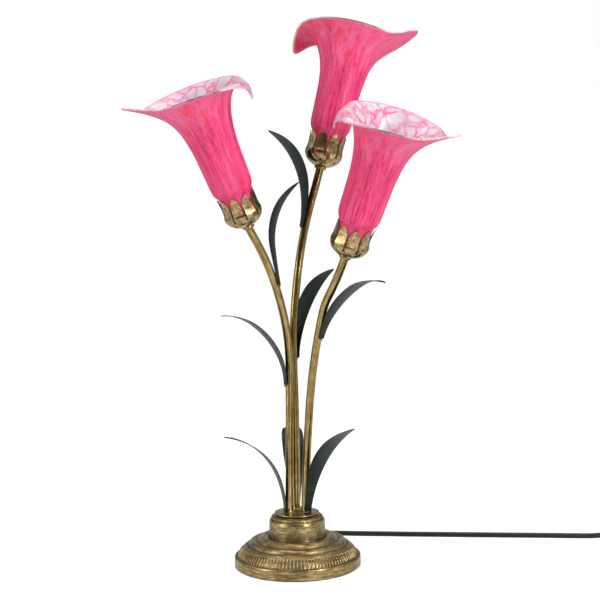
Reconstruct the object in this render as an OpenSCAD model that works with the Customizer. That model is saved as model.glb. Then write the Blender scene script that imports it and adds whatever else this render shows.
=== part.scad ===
// Accent lamp with three calla lily flowers: a weighted brass foot, three bent stem tubes, eight stamped
// leaves, three blown glass shades in slit cups, and a cord with an in-line rocker switch and a plug.
// The origin is the centre of the foot on the table, +Z is up and the lamp's front faces -Y.

/* [Base] */
// Radius of the foot rim
foot_r = 63; // [62:0.5:66]
// Height of the top of the straight rim
rim_h = 10; // [9.6:0.1:11]
// Wall of the spun base shell
shell_t = 1.2; // [1:0.1:1.4]
// Thickness of the felt pad
pad_t = 2; // [1.6:0.1:2.2]
// Gap between the table and the rim, where only the pad shows
rim_lift = 1.2; // [0.8:0.1:1.5]
// Radius of the column under the disc
column_r = 28; // [27:0.25:29]
// Height of the top of the base shell
base_h = 51.5; // [50.5:0.25:54]
// Radius of the opening in the top of the base shell
top_hole_r = 16.5; // [16:0.1:17]
// Thickness of the cast weight
weight_t = 11.9; // [11:0.1:12.4]
// Radius of the pocket for the nut under the weight
pocket_r = 14; // [13.5:0.1:14.5]
// Height of the ceiling of that pocket above the table
pocket_top = 8; // [7.8:0.1:8.6]
// Width of the cord's slot in the weight
slot_w = 9; // [8:0.5:12]

/* [Disc and clamp] */
// Radius of the disc that holds the stems
disc_r = 22.4; // [22:0.1:24]
// Thickness of the disc
disc_t = 1.2; // [1:0.1:2]
// Thickness of the spacer ring under the disc
spacer_t = 0.8; // [0.6:0.1:1.2]
// Outer radius of the spacer ring
spacer_r = 20.5; // [19.5:0.1:21]
// Width of the spacer ring's metal
spacer_w = 3.5; // [2.5:0.1:3.8]
// Diameter of the threaded clamp pipe
pipe_d = 10; // [9.5:0.1:10.4]
// Diameter of the clamp pipe's bore
pipe_bore = 7; // [6:0.1:7.5]
// Radius of the clamp washer
washer_r = 12; // [11:0.1:13]
// Thickness of the clamp washer
washer_t = 1.2; // [1:0.1:1.4]
// Width of the clamp nut across its flats
nut_af = 14; // [13.5:0.1:16]
// Height of the clamp nut
nut_h = 4; // [3.2:0.1:4]

/* [Stems] */
// Outer diameter of the stem tubes
tube_d = 8; // [7.6:0.1:8.4]
// Wall of the stem tubes
tube_t = 1; // [0.8:0.1:1.2]
// Diameter of the two-core lead in each tube
lead_d = 2.6; // [2:0.1:3]
// Length of straight tube that reaches into each flower
tube_reach = 6; // [5.5:0.1:6.5]

/* [Leaves] */
// Greatest width of a leaf
leaf_w = 23; // [20:0.5:25]
// Thickness of a leaf
leaf_t = 0.8; // [0.6:0.05:0.9]
// Gap between a stem and the back of a leaf
leaf_gap = 0.1; // [0.05:0.05:0.25]

/* [Cups] */
// Largest radius of the bowl of a cup
cup_r = 19; // [18.8:0.1:19.6]
// Wall of a cup
cup_t = 0.8; // [0.6:0.05:0.9]
// Height of the bowl's widest level above its flat bottom
bowl_h = 13; // [12.5:0.1:13.5]
// Radius of the bowl's flat bottom
flat_r = 7; // [6.8:0.1:7.6]
// Number of petals round a cup
petals = 9; // [7:1:10]
// Height of the petals' tips
petal_top = 33; // [30:0.5:34]
// Width of the slits between the petals
slit_w = 2; // [1.6:0.1:2.4]
// Diameter of the vent holes in a bowl
vent_d = 2.4; // [1.8:0.1:3]
// Number of vent holes in a bowl
vents = 6; // [4:1:8]
// Radius of the collar under a cup
collar_r = 6; // [5.4:0.1:7]
// Height of the collar
collar_h = 3; // [2:0.1:3]
// Width of the nut inside a cup, across its flats
cup_nut_af = 11.4; // [10.5:0.1:11.5]
// Height of that nut
cup_nut_h = 2.5; // [2:0.1:2.6]

/* [Lamp holders and bulbs] */
// Outer radius of a lamp holder
holder_r = 9.8; // [9.2:0.1:11]
// Height of the top of a lamp holder above the cup's bottom
holder_top = 34; // [33:0.5:35]
// Height of the floor of the holder's socket
socket_floor = 12; // [11:0.1:13]
// Radius of the bulb's screw cap
cap_r = 5.9; // [5.7:0.05:6]
// Wall of the screw shell in the holder
screw_shell_t = 0.53; // [0.4:0.01:0.6]
// Length of the bulb's cap
cap_len = 22.4; // [21.5:0.1:24]
// Largest radius of the bulb's glass
bulb_r = 10; // [9:0.1:11]
// Length of the bulb's glass above its cap
bulb_len = 59; // [50:0.5:62]
// Wall of the bulb's glass
bulb_t = 1; // [0.7:0.05:1.2]

/* [Glass shades] */
// Radius of a shade's neck where it stands in the cup
neck_r = 16.8; // [16.4:0.05:16.9]
// Thickness of the glass in the throat
glass_t = 2.2; // [1.8:0.1:2.5]
// Thickness of the glass at the ground rim
rim_t = 1.6; // [1.2:0.1:2]
// Radius of the throat where the flare begins
throat_r = 23.5; // [22.5:0.25:24.5]
// Height above the cup's bottom where the flare begins
throat_h = 94; // [90:0.5:98]
// Number of strips round a shade, a multiple of four
strips = 32; // [24:4:36]

/* [Cord] */
// Diameter of the cord
cord_d = 5.5; // [5:0.1:5.6]
// Wall of the strain relief round the cord
relief_t = 1.05; // [0.9:0.05:1.1]
// Length of the strain relief outside the rim
relief_len = 23; // [20:0.5:30]
// Number of turns in each layer of the coil
turns = 3; // [2:1:4]
// Distance between the turns of the coil, and between its two layers
turn_pitch = 6; // [6:0.1:6.6]
// Radius of the outermost turn of the coil
coil_r = 42; // [42:0.5:46]

/* [Switch and plug] */
// Length of the in-line switch
switch_l = 62; // [60:0.5:66]
// Width of the switch
switch_w = 24; // [22:0.5:28]
// Height of the lower shell of the switch
switch_split = 8; // [7.8:0.1:8.4]
// Height of the whole switch without its rocker
switch_h = 16; // [15.6:0.1:17]
// Wall of the switch shells
switch_t = 2; // [1.6:0.1:2.2]
// Radius of the rocker's pivot pin
pin_r = 1.2; // [1:0.05:1.4]
// Length of the rocker
rocker_l = 20; // [18:0.25:20.5]
// Width of the rocker
rocker_w = 10.4; // [9:0.1:11]
// Length of the plug's body
plug_l = 32; // [28:0.5:36]
// Width of the plug's body
plug_w = 26; // [24:0.5:30]
// Height of the plug's body
plug_h = 16; // [15:0.5:18]
// Distance between the plug's blades
blade_gap = 12.7; // [12.7:0.1:12.7]

/* [Fits] */
// Radial clearance of pieces that slide over each other
slide_fit = 0.05; // [0.03:0.01:0.08]
// Gap under a loosely seated piece
seat_gap = 0.1; // [0.05:0.01:0.2]
// Gap between the shade and the bowl that it stands in
glass_gap = 0.35; // [0.3:0.01:0.4]

/* [Hidden] */
$fn = 48;

// Levels of the base
pipe_r = pipe_d / 2;
tube_r = tube_d / 2;
weight_top = pad_t + weight_t;
spacer_top = base_h + spacer_t;
disc_top = spacer_top + disc_t;
exit_z = (pad_t + rim_h + 0.2) / 2;

// Each stem is a foot on the disc, an azimuth, and a chain of arcs: length and bend in degrees
LEFT = 0;
CENTRE = 1;
RIGHT = 2;
feet = [[-7.5, 1.5], [-0.5, 14], [8.5, 1.5]];
azimuths = [222, 2, -52];
chains = [
  [[8, -2], [136, 1], [51, 15], [92, 22.7], [7, -9.5], [3, 0]],
  [[8, 1], [131, -2], [114, 10], [66, 8], [27, -2.2], [3, 0]],
  [[8, 4], [91, 3], [103, 13], [20, 20], [44, -10.7], [3, 0]]
];

// Turn of each cup and each shade about its own axis, and the reach of each shade's tip and of its rolled lip
cup_spins = [-2, 12.5, 5.5];
spins = [-15, -21, 18];
tip_reaches = [0.96, 0.84, 0.88];
lip_reaches = [0.8, 1, 0.72];
lip_turns = [-25, 4, 28];

// Each leaf: stem, distance along it, azimuth, first tilt, three bends in degrees, length
leaf_foot_left_data = [LEFT, 0, 198, 0, [22, 29, 31], 109];
leaf_foot_back_data = [CENTRE, 0, 94, 20, [5, 25, 70], 115];
leaf_foot_right_data = [RIGHT, 0, -52, 6, [21.5, 22, 24], 123];
leaf_low_left_data = [LEFT, 127, 201, -1.5, [31, 24, 39], 107];
leaf_low_centre_data = [CENTRE, 153, 44, -2.6, [22.6, 21, 33], 113];
leaf_low_right_data = [RIGHT, 176, -38.5, 17, [25, 19, 47], 102.5];
leaf_high_left_data = [LEFT, 229.5, -17, -11.6, [4.4, 29, 37], 110.5];
leaf_high_centre_data = [CENTRE, 286.6, 208, -15.4, [18, 29, 40], 111];
leaf_rings = 14;

// Heights inside a flower, along its axis from the outside of the cup's bottom
bowl_in_r = cup_r - cup_t;
bowl_depth = bowl_h / sqrt(1 - pow(flat_r / cup_r, 2));
glass_z = bowl_h - (bowl_depth - cup_t) * sqrt(1 - pow(neck_r / bowl_in_r, 2)) + glass_gap;
cup_nut_top = cup_t + cup_nut_h;
holder_z = cup_nut_top + seat_gap;
screw_shell_r = cap_r + slide_fit + screw_shell_t;
socket_r = screw_shell_r + slide_fit;
contact_z = socket_floor + slide_fit;
contact_h = 1.25;
cap_z = contact_z + contact_h + 0.3;
cap_top = cap_z + cap_len;

// The route of the cord on the table, from the strain relief to the switch and onwards
relief_out = foot_r + relief_len;
switch_x = 386;
switch_y = 76;
port_z = 7;
cord_z = cord_d / 2;
route_out = [
  [0, relief_out, exit_z], [0, relief_out + 1.5, exit_z], [0.2, 92, 5.5], [1, 97, 4.7], [4, 104, 3.6],
  [9, 110, 3], [16, 114, 2.75], [24, 115.5, 2.75], [34, 115, 2.75], [50, 113, 2.75], [70, 110, 2.75],
  [95, 107, 2.75], [120, 103.5, 2.75], [150, 100, 2.75], [180, 96.5, 2.75], [210, 93, 2.75],
  [240, 89.5, 2.75], [270, 86, 2.75], [298, 82.5, 2.75], [318, 79.5, 3.2], [336, 77, 5], [348, 76, 6.8],
  [353, 76, port_z], [359, 76, port_z]
];

// Points and curves

function unit(v) = v / norm(v);

// A quarter-like curve from a to b that leans to c
function bend_line(a, c, b, n) = [for (i = [0:n]) let (k = i / n) a * pow(1 - k, 2) + c * 2 * k * (1 - k) + b * k * k];

// A smooth line through all of its points, at k from 0 to 1
function spline(p, k) =
  let (
    last = len(p) - 1,
    x = min(max(k, 0), 1) * last,
    i = min(floor(x), last - 1),
    f = x - i,
    b = p[i],
    c = p[i + 1],
    a = i == 0 ? 2 * b - c : p[i - 1],
    d = i == last - 1 ? 2 * c - b : p[i + 2]
  )
  0.5 * (2 * b + (c - a) * f + (2 * a - 5 * b + 4 * c - d) * f * f + (3 * b - a - 3 * c + d) * f * f * f);

// Direction square to an outline at its point i, to the right of its run
function side_at(p, i) =
  let (
    last = len(p) - 1,
    e = unit(p[max(i, 1)] - p[max(i, 1) - 1]),
    f = unit(p[min(i, last - 1) + 1] - p[min(i, last - 1)]),
    m = unit([e[1] + f[1], -e[0] - f[0]])
  )
  m / max(0.6, m * [e[1], -e[0]]);

// The same outline moved to the left of its run
function inset(p, t) = [for (i = [0:len(p) - 1]) p[i] - t * side_at(p, i)];

function reversed(p) = [for (i = [len(p) - 1:-1:0]) p[i]];

// Distance out, height and tilt after s millimetres of a chain of arcs
function walk(chain, s, i = 0, at = [0, 0, 0]) =
  (i == len(chain) || s <= 0) ? at :
  let (
    step = min(s, chain[i][0]),
    bend = chain[i][1] * step / chain[i][0],
    mid = at[2] + bend / 2,
    chord = bend == 0 ? step : step * sin(bend / 2) / (bend * PI / 360)
  )
  walk(chain, s - chain[i][0], i + 1, at + [chord * sin(mid), chord * cos(mid), bend]);

function chain_len(chain, i = 0) = i == len(chain) ? 0 : chain[i][0] + chain_len(chain, i + 1);

// A point s millimetres along the centre line of a stem, which runs on straight past its end
function stem_point(i, s) =
  let (w = walk(concat(chains[i], [[socket_floor, 0]]), s))
  [feet[i][0] + w[0] * cos(azimuths[i]), feet[i][1] + w[0] * sin(azimuths[i]), disc_top + w[1]];

// Skins

// A skin over rings of equally many points, with flat ends or joined round on itself
module loft(rings, round_again = false) {
  n = len(rings[0]);
  m = len(rings);
  sides = [
    for (j = [0:round_again ? m - 1 : m - 2]) for (i = [0:n - 1])
      let (k = (j + 1) % m, h = (i + 1) % n)
      each [[j * n + i, k * n + i, k * n + h], [j * n + i, k * n + h, j * n + h]]
  ];
  ends = round_again ? [] : [for (i = [1:n - 2]) each [[0, i, i + 1], [m * n - n, m * n - n + i + 1, m * n - n + i]]];
  polyhedron(points = [for (ring = rings) each ring], faces = concat(sides, ends), convexity = 10);
}

// Rings of n points round a line; across is a direction that the line never takes
function ring_list(p, r, n, across = [0, 0, 1]) = [
  for (i = [0:len(p) - 1])
    let (t = unit(p[min(i + 1, len(p) - 1)] - p[max(i - 1, 0)]), u = unit(cross(across, t)), v = cross(t, u))
    [for (k = [0:n - 1]) p[i] + r * cos(360 * k / n) * u + r * sin(360 * k / n) * v]
];

// A cord along a route, with some rings between its points
module cord(route, between = 2) {
  steps = (len(route) - 1) * between;
  points = [for (i = [0:steps]) spline(route, i / steps)];
  color("dimgray") loft(ring_list(points, cord_d / 2, 8));
}

// Rods and tubes

module tube(r_out, r_in, h) {
  difference() {
    cylinder(r = r_out, h = h);
    translate([0, 0, -1]) cylinder(r = r_in, h = h + 2);
  }
}

// Base

band_foot = [foot_r - 2.5, rim_h + 1.4];
band_lean = [foot_r - 5.5, rim_h + 8.5];
band_top = [foot_r - 13, rim_h + 12.5];

// Radius of the inside of the ribbed band at a height
function band_inside(z) =
  let (
    b = 2 * (band_lean - band_foot),
    c = band_foot - 2 * band_lean + band_top,
    k = (sqrt(b[1] * b[1] - 4 * c[1] * (band_foot[1] - z)) - b[1]) / (2 * c[1]),
    run = b + 2 * c * k
  )
  band_foot[0] + b[0] * k + c[0] * k * k - shell_t * norm(run) / run[1];

weight_r = band_inside(weight_top) - 2 * seat_gap;
groove_b = [foot_r - 22, rim_h + 15.8];
groove_c = band_top - [0.5, 0.5];
groove_a = [column_r + 0.3, rim_h + 18.5];
base_outline = concat(
  [[foot_r, rim_lift], [foot_r, rim_h], [foot_r - 0.4, rim_h + 1], [foot_r - 1.5, rim_h + 1.4]],
  bend_line(band_foot, band_lean, band_top, 5),
  bend_line(groove_c, [groove_c[0] - 2.15, groove_c[1] + 6.1], groove_b, 6),
  [for (i = [1:6]) bend_line(groove_b, [groove_b[0] - 4.65, groove_b[1] + 7.65], groove_a, 6)[i]],
  [[column_r, groove_a[1] + 0.7], [column_r, base_h - 7.5], [column_r - 0.4, base_h - 5.5]],
  [[column_r - 1.7, base_h - 3.5], [column_r - 2.4, base_h - 1.9], [column_r - 3.6, base_h - 0.9]],
  [[column_r - 5.2, base_h - 0.2], [column_r - 6.5, base_h], [top_hole_r, base_h]]
);

relief_bore = cord_d / 2 + 2 * slide_fit;
relief_r = relief_bore + relief_t;
flange_w = 11;
flange_y = sqrt(pow(foot_r - shell_t, 2) - pow(flange_w / 2, 2)) - seat_gap;

module base_shell() color("darkgoldenrod") {
  difference() {
    rotate_extrude($fn = 96) polygon(concat(base_outline, reversed(inset(base_outline, shell_t))));
    translate([0, foot_r + 5, exit_z]) rotate([90, 0, 0]) cylinder(r = relief_r + seat_gap, h = 12);
  }
}

module base_pad() color("darkslategray") cylinder(r = foot_r - shell_t - 0.4, h = pad_t, $fn = 96);

splice_at = [-0.5, 14];
splice_r = 6;
splice_top = 42;
lead_bend = 20;
slot_y = splice_at[1] + lead_bend - sqrt(
  pow(lead_bend + cord_d / 2, 2) - pow(lead_bend + exit_z - weight_top, 2)
) - 0.5;

module base_weight() color("slategray") {
  difference() {
    translate([0, 0, pad_t]) cylinder(r = weight_r, h = weight_t, $fn = 96);
    cylinder(r = pipe_r + 0.2, h = weight_top + 1);
    translate([0, 0, pad_t - 1]) cylinder(r = pocket_r, h = pocket_top - pad_t + 1);
    translate([-slot_w / 2, slot_y, pad_t - 1]) cube([slot_w, foot_r, weight_t + 2]);
  }
}

module clamp_pipe() color("gold") {
  foot = pocket_top - washer_t - seat_gap - nut_h - 0.3;
  translate([0, 0, foot]) tube(pipe_r, pipe_bore / 2, spacer_top - foot);
}

module hex_nut(af, bore_r, h) {
  difference() {
    cylinder(r = af / 2 / cos(30), h = h, $fn = 6);
    translate([0, 0, -1]) cylinder(r = bore_r, h = h + 2);
  }
}

module clamp_nut() color("gold") {
  translate([0, 0, pocket_top - washer_t - seat_gap - nut_h]) hex_nut(nut_af, pipe_r + slide_fit, nut_h);
}

module clamp_washer() color("silver") {
  translate([0, 0, pocket_top - washer_t]) tube(washer_r, pipe_r + 2 * slide_fit, washer_t);
}

module spacer_ring() color("dimgray") translate([0, 0, base_h]) tube(spacer_r, spacer_r - spacer_w, spacer_t);

module stem_disc() color("goldenrod") {
  difference() {
    translate([0, 0, spacer_top]) cylinder(r = disc_r, h = disc_t, $fn = 96);
    for (foot = feet) translate([foot[0], foot[1], base_h]) cylinder(r = tube_r + slide_fit, h = 9);
  }
}

module wire_splice() color("ivory") {
  translate([splice_at[0], splice_at[1], exit_z + lead_bend])
    cylinder(r = splice_r, h = splice_top - exit_z - lead_bend);
}

module base_lead() color("dimgray") {
  translate([0, splice_at[1] + lead_bend, exit_z + lead_bend]) rotate([90, 180, 90])
    rotate_extrude(angle = 90) translate([lead_bend, 0]) circle(cord_d / 2);
  translate([0, relief_out, exit_z]) rotate([90, 0, 0])
    cylinder(r = cord_d / 2, h = relief_out - splice_at[1] - lead_bend);
}

module cord_relief() color("dimgray") translate([0, 0, exit_z]) {
  neck_y = foot_r + seat_gap;
  difference() {
    union() {
      translate([0, relief_out, 0]) rotate([90, 0, 0])
        cylinder(r1 = relief_bore + 0.5, r2 = relief_r + 0.6, h = relief_out - neck_y);
      translate([0, neck_y, 0]) rotate([90, 0, 0]) cylinder(r = relief_r, h = neck_y - flange_y + 1);
      translate([-flange_w / 2, flange_y - 1.5, pad_t + 0.2 - exit_z]) cube([flange_w, 1.5, rim_h - pad_t - 0.2]);
    }
    translate([0, relief_out + 1, 0]) rotate([90, 0, 0]) cylinder(r = relief_bore, h = relief_len + 12);
  }
}

// Stems and leads

// Distances along a chain at which its curve needs a ring
function marks(chain, i = 0, s = 0) =
  i == len(chain) ? [s] :
  let (n = max(1, ceil(abs(chain[i][1]) / 3.5)))
  concat([for (k = [0:n - 1]) s + chain[i][0] * k / n], marks(chain, i + 1, s + chain[i][0]));

// The centre line of a stem from the underside of the disc to a length past its end
function stem_line(i, past) = concat(
  [[feet[i][0], feet[i][1], spacer_top]],
  [for (s = marks(concat(chains[i], [[past, 0]]))) stem_point(i, s)]
);

module on_top(i) {
  w = walk(chains[i], chain_len(chains[i]));
  translate([feet[i][0], feet[i][1], disc_top]) rotate([0, 0, azimuths[i]]) translate([w[0], 0, w[1]])
    rotate([0, w[2], 0]) children();
}

module stem(i) color("goldenrod") {
  line = stem_line(i, tube_reach);
  loft(concat(
    ring_list(line, tube_r, 18, [1, 0, 0]), reversed(ring_list(line, tube_r - tube_t, 18, [1, 0, 0]))
  ), true);
}
module stem_left() stem(LEFT);
module stem_centre() stem(CENTRE);
module stem_right() stem(RIGHT);

lead_spread = [[-3.3, -1.5], [0, 0], [3.3, -1.5]];

module lead(i) color("ivory") {
  end = splice_at + lead_spread[i];
  loft(ring_list(concat(
    [[end[0], end[1], splice_top], [end[0], end[1], splice_top + 1.5]],
    [[feet[i][0], feet[i][1], base_h - 1.5]],
    stem_line(i, socket_floor)
  ), lead_d / 2, 6, [1, 0, 0]));
}
module lead_left() lead(LEFT);
module lead_centre() lead(CENTRE);
module lead_right() lead(RIGHT);

// Leaves

function leaf_width(k) =
  k < 0.66 ? 0.36 + 0.64 * pow(sin(90 * k / 0.66), 1.3) : max(0.04, pow(cos(90 * (k - 0.66) / 0.34), 0.6));

// Cross-section of a leaf at the share k of its length
function leaf_ring(data, k) =
  let (
    phi = data[2],
    out = [cos(phi), sin(phi), 0],
    wide = [-sin(phi), cos(phi), 0],
    run = data[5],
    w = walk([for (bend = data[4]) [run / 3, bend]], k * run, 0, [0, 0, data[3]]),
    root = stem_point(data[0], data[1]) + (tube_r + leaf_gap + leaf_t / 2) * out,
    lift = leaf_t / 2 * sin(abs(data[3])),
    c = root + w[0] * out + [0, 0, w[1] + lift],
    flat = cos(w[2]) * out - [0, 0, sin(w[2])],
    half = leaf_w / 2 * leaf_width(k)
  )
  [
    c + leaf_t / 2 * flat + half * wide, c - leaf_t / 2 * flat + half * wide,
    c - leaf_t / 2 * flat - half * wide, c + leaf_t / 2 * flat - half * wide
  ];

module leaf(data) color("darkslategray") loft([for (i = [0:leaf_rings]) leaf_ring(data, i / leaf_rings)]);
module leaf_foot_left() leaf(leaf_foot_left_data);
module leaf_foot_back() leaf(leaf_foot_back_data);
module leaf_foot_right() leaf(leaf_foot_right_data);
module leaf_low_left() leaf(leaf_low_left_data);
module leaf_low_centre() leaf(leaf_low_centre_data);
module leaf_low_right() leaf(leaf_low_right_data);
module leaf_high_left() leaf(leaf_high_left_data);
module leaf_high_centre() leaf(leaf_high_centre_data);

// Collars, cups and their nuts

module collar(i) color("goldenrod") on_top(i) rotate_extrude() polygon([
  [tube_r + slide_fit, -collar_h], [collar_r - 0.6, -collar_h], [collar_r, 0.6 - collar_h],
  [collar_r, 0], [tube_r + slide_fit, 0]
]);
module collar_left() collar(LEFT);
module collar_centre() collar(CENTRE);
module collar_right() collar(RIGHT);

// A quarter of an ellipse from the flat bottom to the widest level of the bowl
function bowl_line(r, depth, floor_z, n) =
  let (first = asin(sqrt(1 - pow((bowl_h - floor_z) / depth, 2))))
  [for (i = [0:n]) let (a = first + (90 - first) * i / n) [r * sin(a), bowl_h - depth * cos(a)]];

petal_line = [[0.3, 0.9], [-0.1, 2], [-0.8, 6], [-1, 12], [-0.9, 16.4], [-0.4, petal_top - bowl_h]];
slit_foot = bowl_h - 4;
slit_top = slit_foot + 9;
arch_h = petal_top - slit_top + 0.3;
petal_gap = (cup_r - 0.4) * tan(180 / petals) * 0.95;

// Half of the gap between two petals, as width and height: a slit that opens to leave rounded points
gap_line = concat(
  [[slit_w / 2, slit_foot], [slit_w / 2, slit_top]],
  [for (k = [0.3, 0.5, 0.65, 0.8, 0.9, 1]) [slit_w / 2 + (petal_gap - slit_w / 2) * pow(k, 3), slit_top + arch_h * k]],
  [[petal_gap, petal_top + 2]]
);

module cup(i) color("goldenrod") on_top(i) rotate([0, 0, cup_spins[i]]) {
  outside = concat(
    bowl_line(cup_r, bowl_depth, 0, 8), [for (p = petal_line) [cup_r + p[0], bowl_h + p[1]]]
  );
  inside = concat(
    bowl_line(bowl_in_r, bowl_depth - cup_t, cup_t, 8),
    [for (p = petal_line) [bowl_in_r + p[0], bowl_h + p[1]]]
  );
  bore = tube_r + slide_fit;
  difference() {
    rotate_extrude() polygon(concat([[bore, 0]], outside, reversed(inside), [[bore, cup_t]]));
    for (k = [0:petals - 1]) rotate([0, 0, (k + 0.5) * 360 / petals]) rotate([90, 0, 90])
      translate([0, 0, cup_r / 2]) linear_extrude(cup_r)
        polygon(concat(gap_line, [for (p = reversed(gap_line)) [-p[0], p[1]]]));
    for (k = [0:vents - 1]) rotate([0, 0, 10 + 360 * k / vents]) translate([0, 0, bowl_h]) rotate([0, 118, 0])
      translate([0, 0, bowl_h - 2]) cylinder(d = vent_d, h = 8);
  }
}
module cup_left() cup(LEFT);
module cup_centre() cup(CENTRE);
module cup_right() cup(RIGHT);

module cup_nuts() color("gold") {
  for (i = [LEFT, CENTRE, RIGHT]) on_top(i) translate([0, 0, cup_t]) hex_nut(cup_nut_af, tube_r + slide_fit, cup_nut_h);
}

// Lamp holders and bulbs

module holder(i) color("ivory") on_top(i) rotate_extrude() polygon([
  [tube_r + slide_fit, holder_z], [holder_r - 2, holder_z], [holder_r, holder_z + 2],
  [holder_r, holder_top - 1], [holder_r - 1, holder_top], [socket_r, holder_top],
  [socket_r, socket_floor], [lead_d / 2 + slide_fit, socket_floor],
  [lead_d / 2 + slide_fit, tube_reach + seat_gap], [tube_r + slide_fit, tube_reach + seat_gap]
]);
module holder_left() holder(LEFT);
module holder_centre() holder(CENTRE);
module holder_right() holder(RIGHT);

module screw_shells() color("silver") {
  for (i = [LEFT, CENTRE, RIGHT]) on_top(i) translate([0, 0, contact_z])
    tube(screw_shell_r, cap_r + slide_fit, holder_top - 1 - contact_z);
}

module centre_contacts() color("gold") {
  for (i = [LEFT, CENTRE, RIGHT]) on_top(i) translate([0, 0, contact_z]) cylinder(r = 2.2, h = contact_h);
}

module bulb_cap(i) color("silver") on_top(i) rotate_extrude() polygon([
  [0, cap_z], [2, cap_z], [cap_r - 0.8, cap_z + 3], [cap_r, cap_z + 4], [cap_r, cap_top], [0, cap_top]
]);
module bulb_cap_left() bulb_cap(LEFT);
module bulb_cap_centre() bulb_cap(CENTRE);
module bulb_cap_right() bulb_cap(RIGHT);

// Outline of a bulb's glass, drawn in by t
function bulb_line(t) = concat(
  [[cap_r - 0.3 - t, 0], [0.65 * bulb_r - t, 3], [0.86 * bulb_r - t, 6.5], [bulb_r - t, 12]],
  [for (a = [0:15:75]) [(bulb_r - t) * cos(a), bulb_len - 1.4 * bulb_r + (1.4 * bulb_r - t) * sin(a)]],
  [[0, bulb_len - t]]
);

module bulb_glass(i) color("white") on_top(i) translate([0, 0, cap_top])
  rotate_extrude() polygon(concat(bulb_line(0), reversed(bulb_line(bulb_t))));
module bulb_glass_left() bulb_glass(LEFT);
module bulb_glass_centre() bulb_glass(CENTRE);
module bulb_glass_right() bulb_glass(RIGHT);

// Glass shades

// Lines of the glass: radius and height. The last four start at the top of the throat
throat_line = [
  [neck_r, glass_z], [neck_r - 0.4, 20], [neck_r - 0.4, petal_top + 0.5], [throat_r - 3.7, petal_top + 5],
  [throat_r - 2.5, petal_top + 11], [throat_r - 2.2, throat_h - 28], [throat_r - 1.6, throat_h - 14],
  [throat_r, throat_h]
];
side_line = [[0, 0], [3.3, 9], [7.6, 18.1], [12.4, 26.4], [18.3, 33.6], [23.2, 38.7], [26.9, 42.7]];
tip_line = [[0, 0], [2.3, 10.7], [7.8, 23], [15.8, 32.7], [26.6, 41.4], [37.5, 48.4], [50, 55]];
roll_line = [[0, 0], [3.2, 11.4], [7.6, 20.8], [13.8, 29.4], [22.7, 33.4], [32.3, 28.2], [31.4, 13.5]];
wing_line = [[0, 0], [2.5, 10.9], [6.3, 21.3], [11.5, 30.5], [18.3, 36.7], [26.9, 40.4], [33, 37.5]];
wing_turn = 38;
wing_spread = 34;
// How much higher the end of a lip lies for each share that its reach is shortened by
lip_lift = 20;

function turn_between(a, b) = abs((a - b + 540) % 360 - 180);

// How much each line counts at the angle a and the share u of the flare: side, tip, roll, wing
function flare_shares(i, a, u) =
  let (
    lip = 180 + lip_turns[i],
    tip = pow((1 + cos(a)) / 2, 2 + 50 * pow(u, 2.5)),
    roll = pow((1 + cos(a - lip)) / 2, 3 + 12 * u),
    near_wing = min(turn_between(a, lip - wing_turn), turn_between(a, lip + wing_turn)) / wing_spread,
    wing = exp(-near_wing * near_wing) * (1 - roll),
    side = max(0, 1 - tip - roll - wing)
  )
  [side, tip, roll, wing] / (side + tip + roll + wing);

// A point of the outside of the glass: angle a, and v from 0 to 1 up the throat, 1 to 2 up the flare
function shade_point(i, a, v) =
  let (
    u = v - 1,
    s = flare_shares(i, a, u),
    tip = spline(tip_line, u),
    roll = spline(roll_line, u),
    lift = lip_lift * (1 - lip_reaches[i]) * pow(u, 4),
    rz = v <= 1 ? spline(throat_line, v) : [throat_r, throat_h]
      + s[0] * spline(side_line, u) + s[1] * [tip[0] * tip_reaches[i], tip[1]]
      + s[2] * [roll[0] * lip_reaches[i], roll[1] + lift] + s[3] * spline(wing_line, u)
  )
  [rz[0] * cos(a), rz[0] * sin(a), rz[1]];

// The point behind it on the inside of the glass
function shade_inside(i, a, v) =
  let (
    d = 0.02,
    top = min(v + d, 2),
    across = shade_point(i, a + 1, v) - shade_point(i, a - 1, v),
    up = shade_point(i, a, top) - shade_point(i, a, max(v - d, 0)),
    t = v <= 1 ? glass_t : glass_t + (rim_t - glass_t) * (v - 1)
  )
  shade_point(i, a, v) - t * unit(cross(across, up));

throat_rows = len(throat_line) - 1;
flare_rows = 8;

// The glass between the first and the last of some values of v
module glass(i, heights) color("hotpink") on_top(i) rotate([0, 0, spins[i]]) {
  angles = [for (j = [0:strips - 1]) let (a = 360 * j / strips) a - 12 * sin(2 * a)];
  loft(concat(
    [for (v = heights) [for (a = angles) shade_point(i, a, v)]],
    [for (v = reversed(heights)) [for (a = angles) shade_inside(i, a, v)]]
  ), true);
}

module throat(i) glass(i, [for (j = [0:throat_rows]) j / throat_rows]);
module throat_left() throat(LEFT);
module throat_centre() throat(CENTRE);
module throat_right() throat(RIGHT);

module shade(i) glass(i, [for (j = [0:flare_rows]) 1 + j / flare_rows]);
module shade_left() shade(LEFT);
module shade_centre() shade(CENTRE);
module shade_right() shade(RIGHT);

// Cord, coil and plug

switch_end = switch_x + switch_l / 2;
cord_stop = 4;
coil_x = 475;
coil_y = switch_y - coil_r;
coil_in = coil_r - turn_pitch * turns;
coil_top = cord_z + turn_pitch;
plug_z = plug_h / 2;
plug_end = 410;
plug_sink = 6;
tail_relief = 14;

module power_cord() cord(route_out);

module cord_middle() cord([
  [switch_end - cord_stop, switch_y, port_z], [switch_end + 2, switch_y, port_z],
  [switch_end + 12, switch_y, port_z - 1.6], [switch_end + 24, switch_y, cord_z + 0.7],
  [switch_end + 36, switch_y, cord_z], [coil_x - cord_d - 6, switch_y, cord_z],
  [coil_x - cord_d, switch_y, cord_z]
]);

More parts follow.
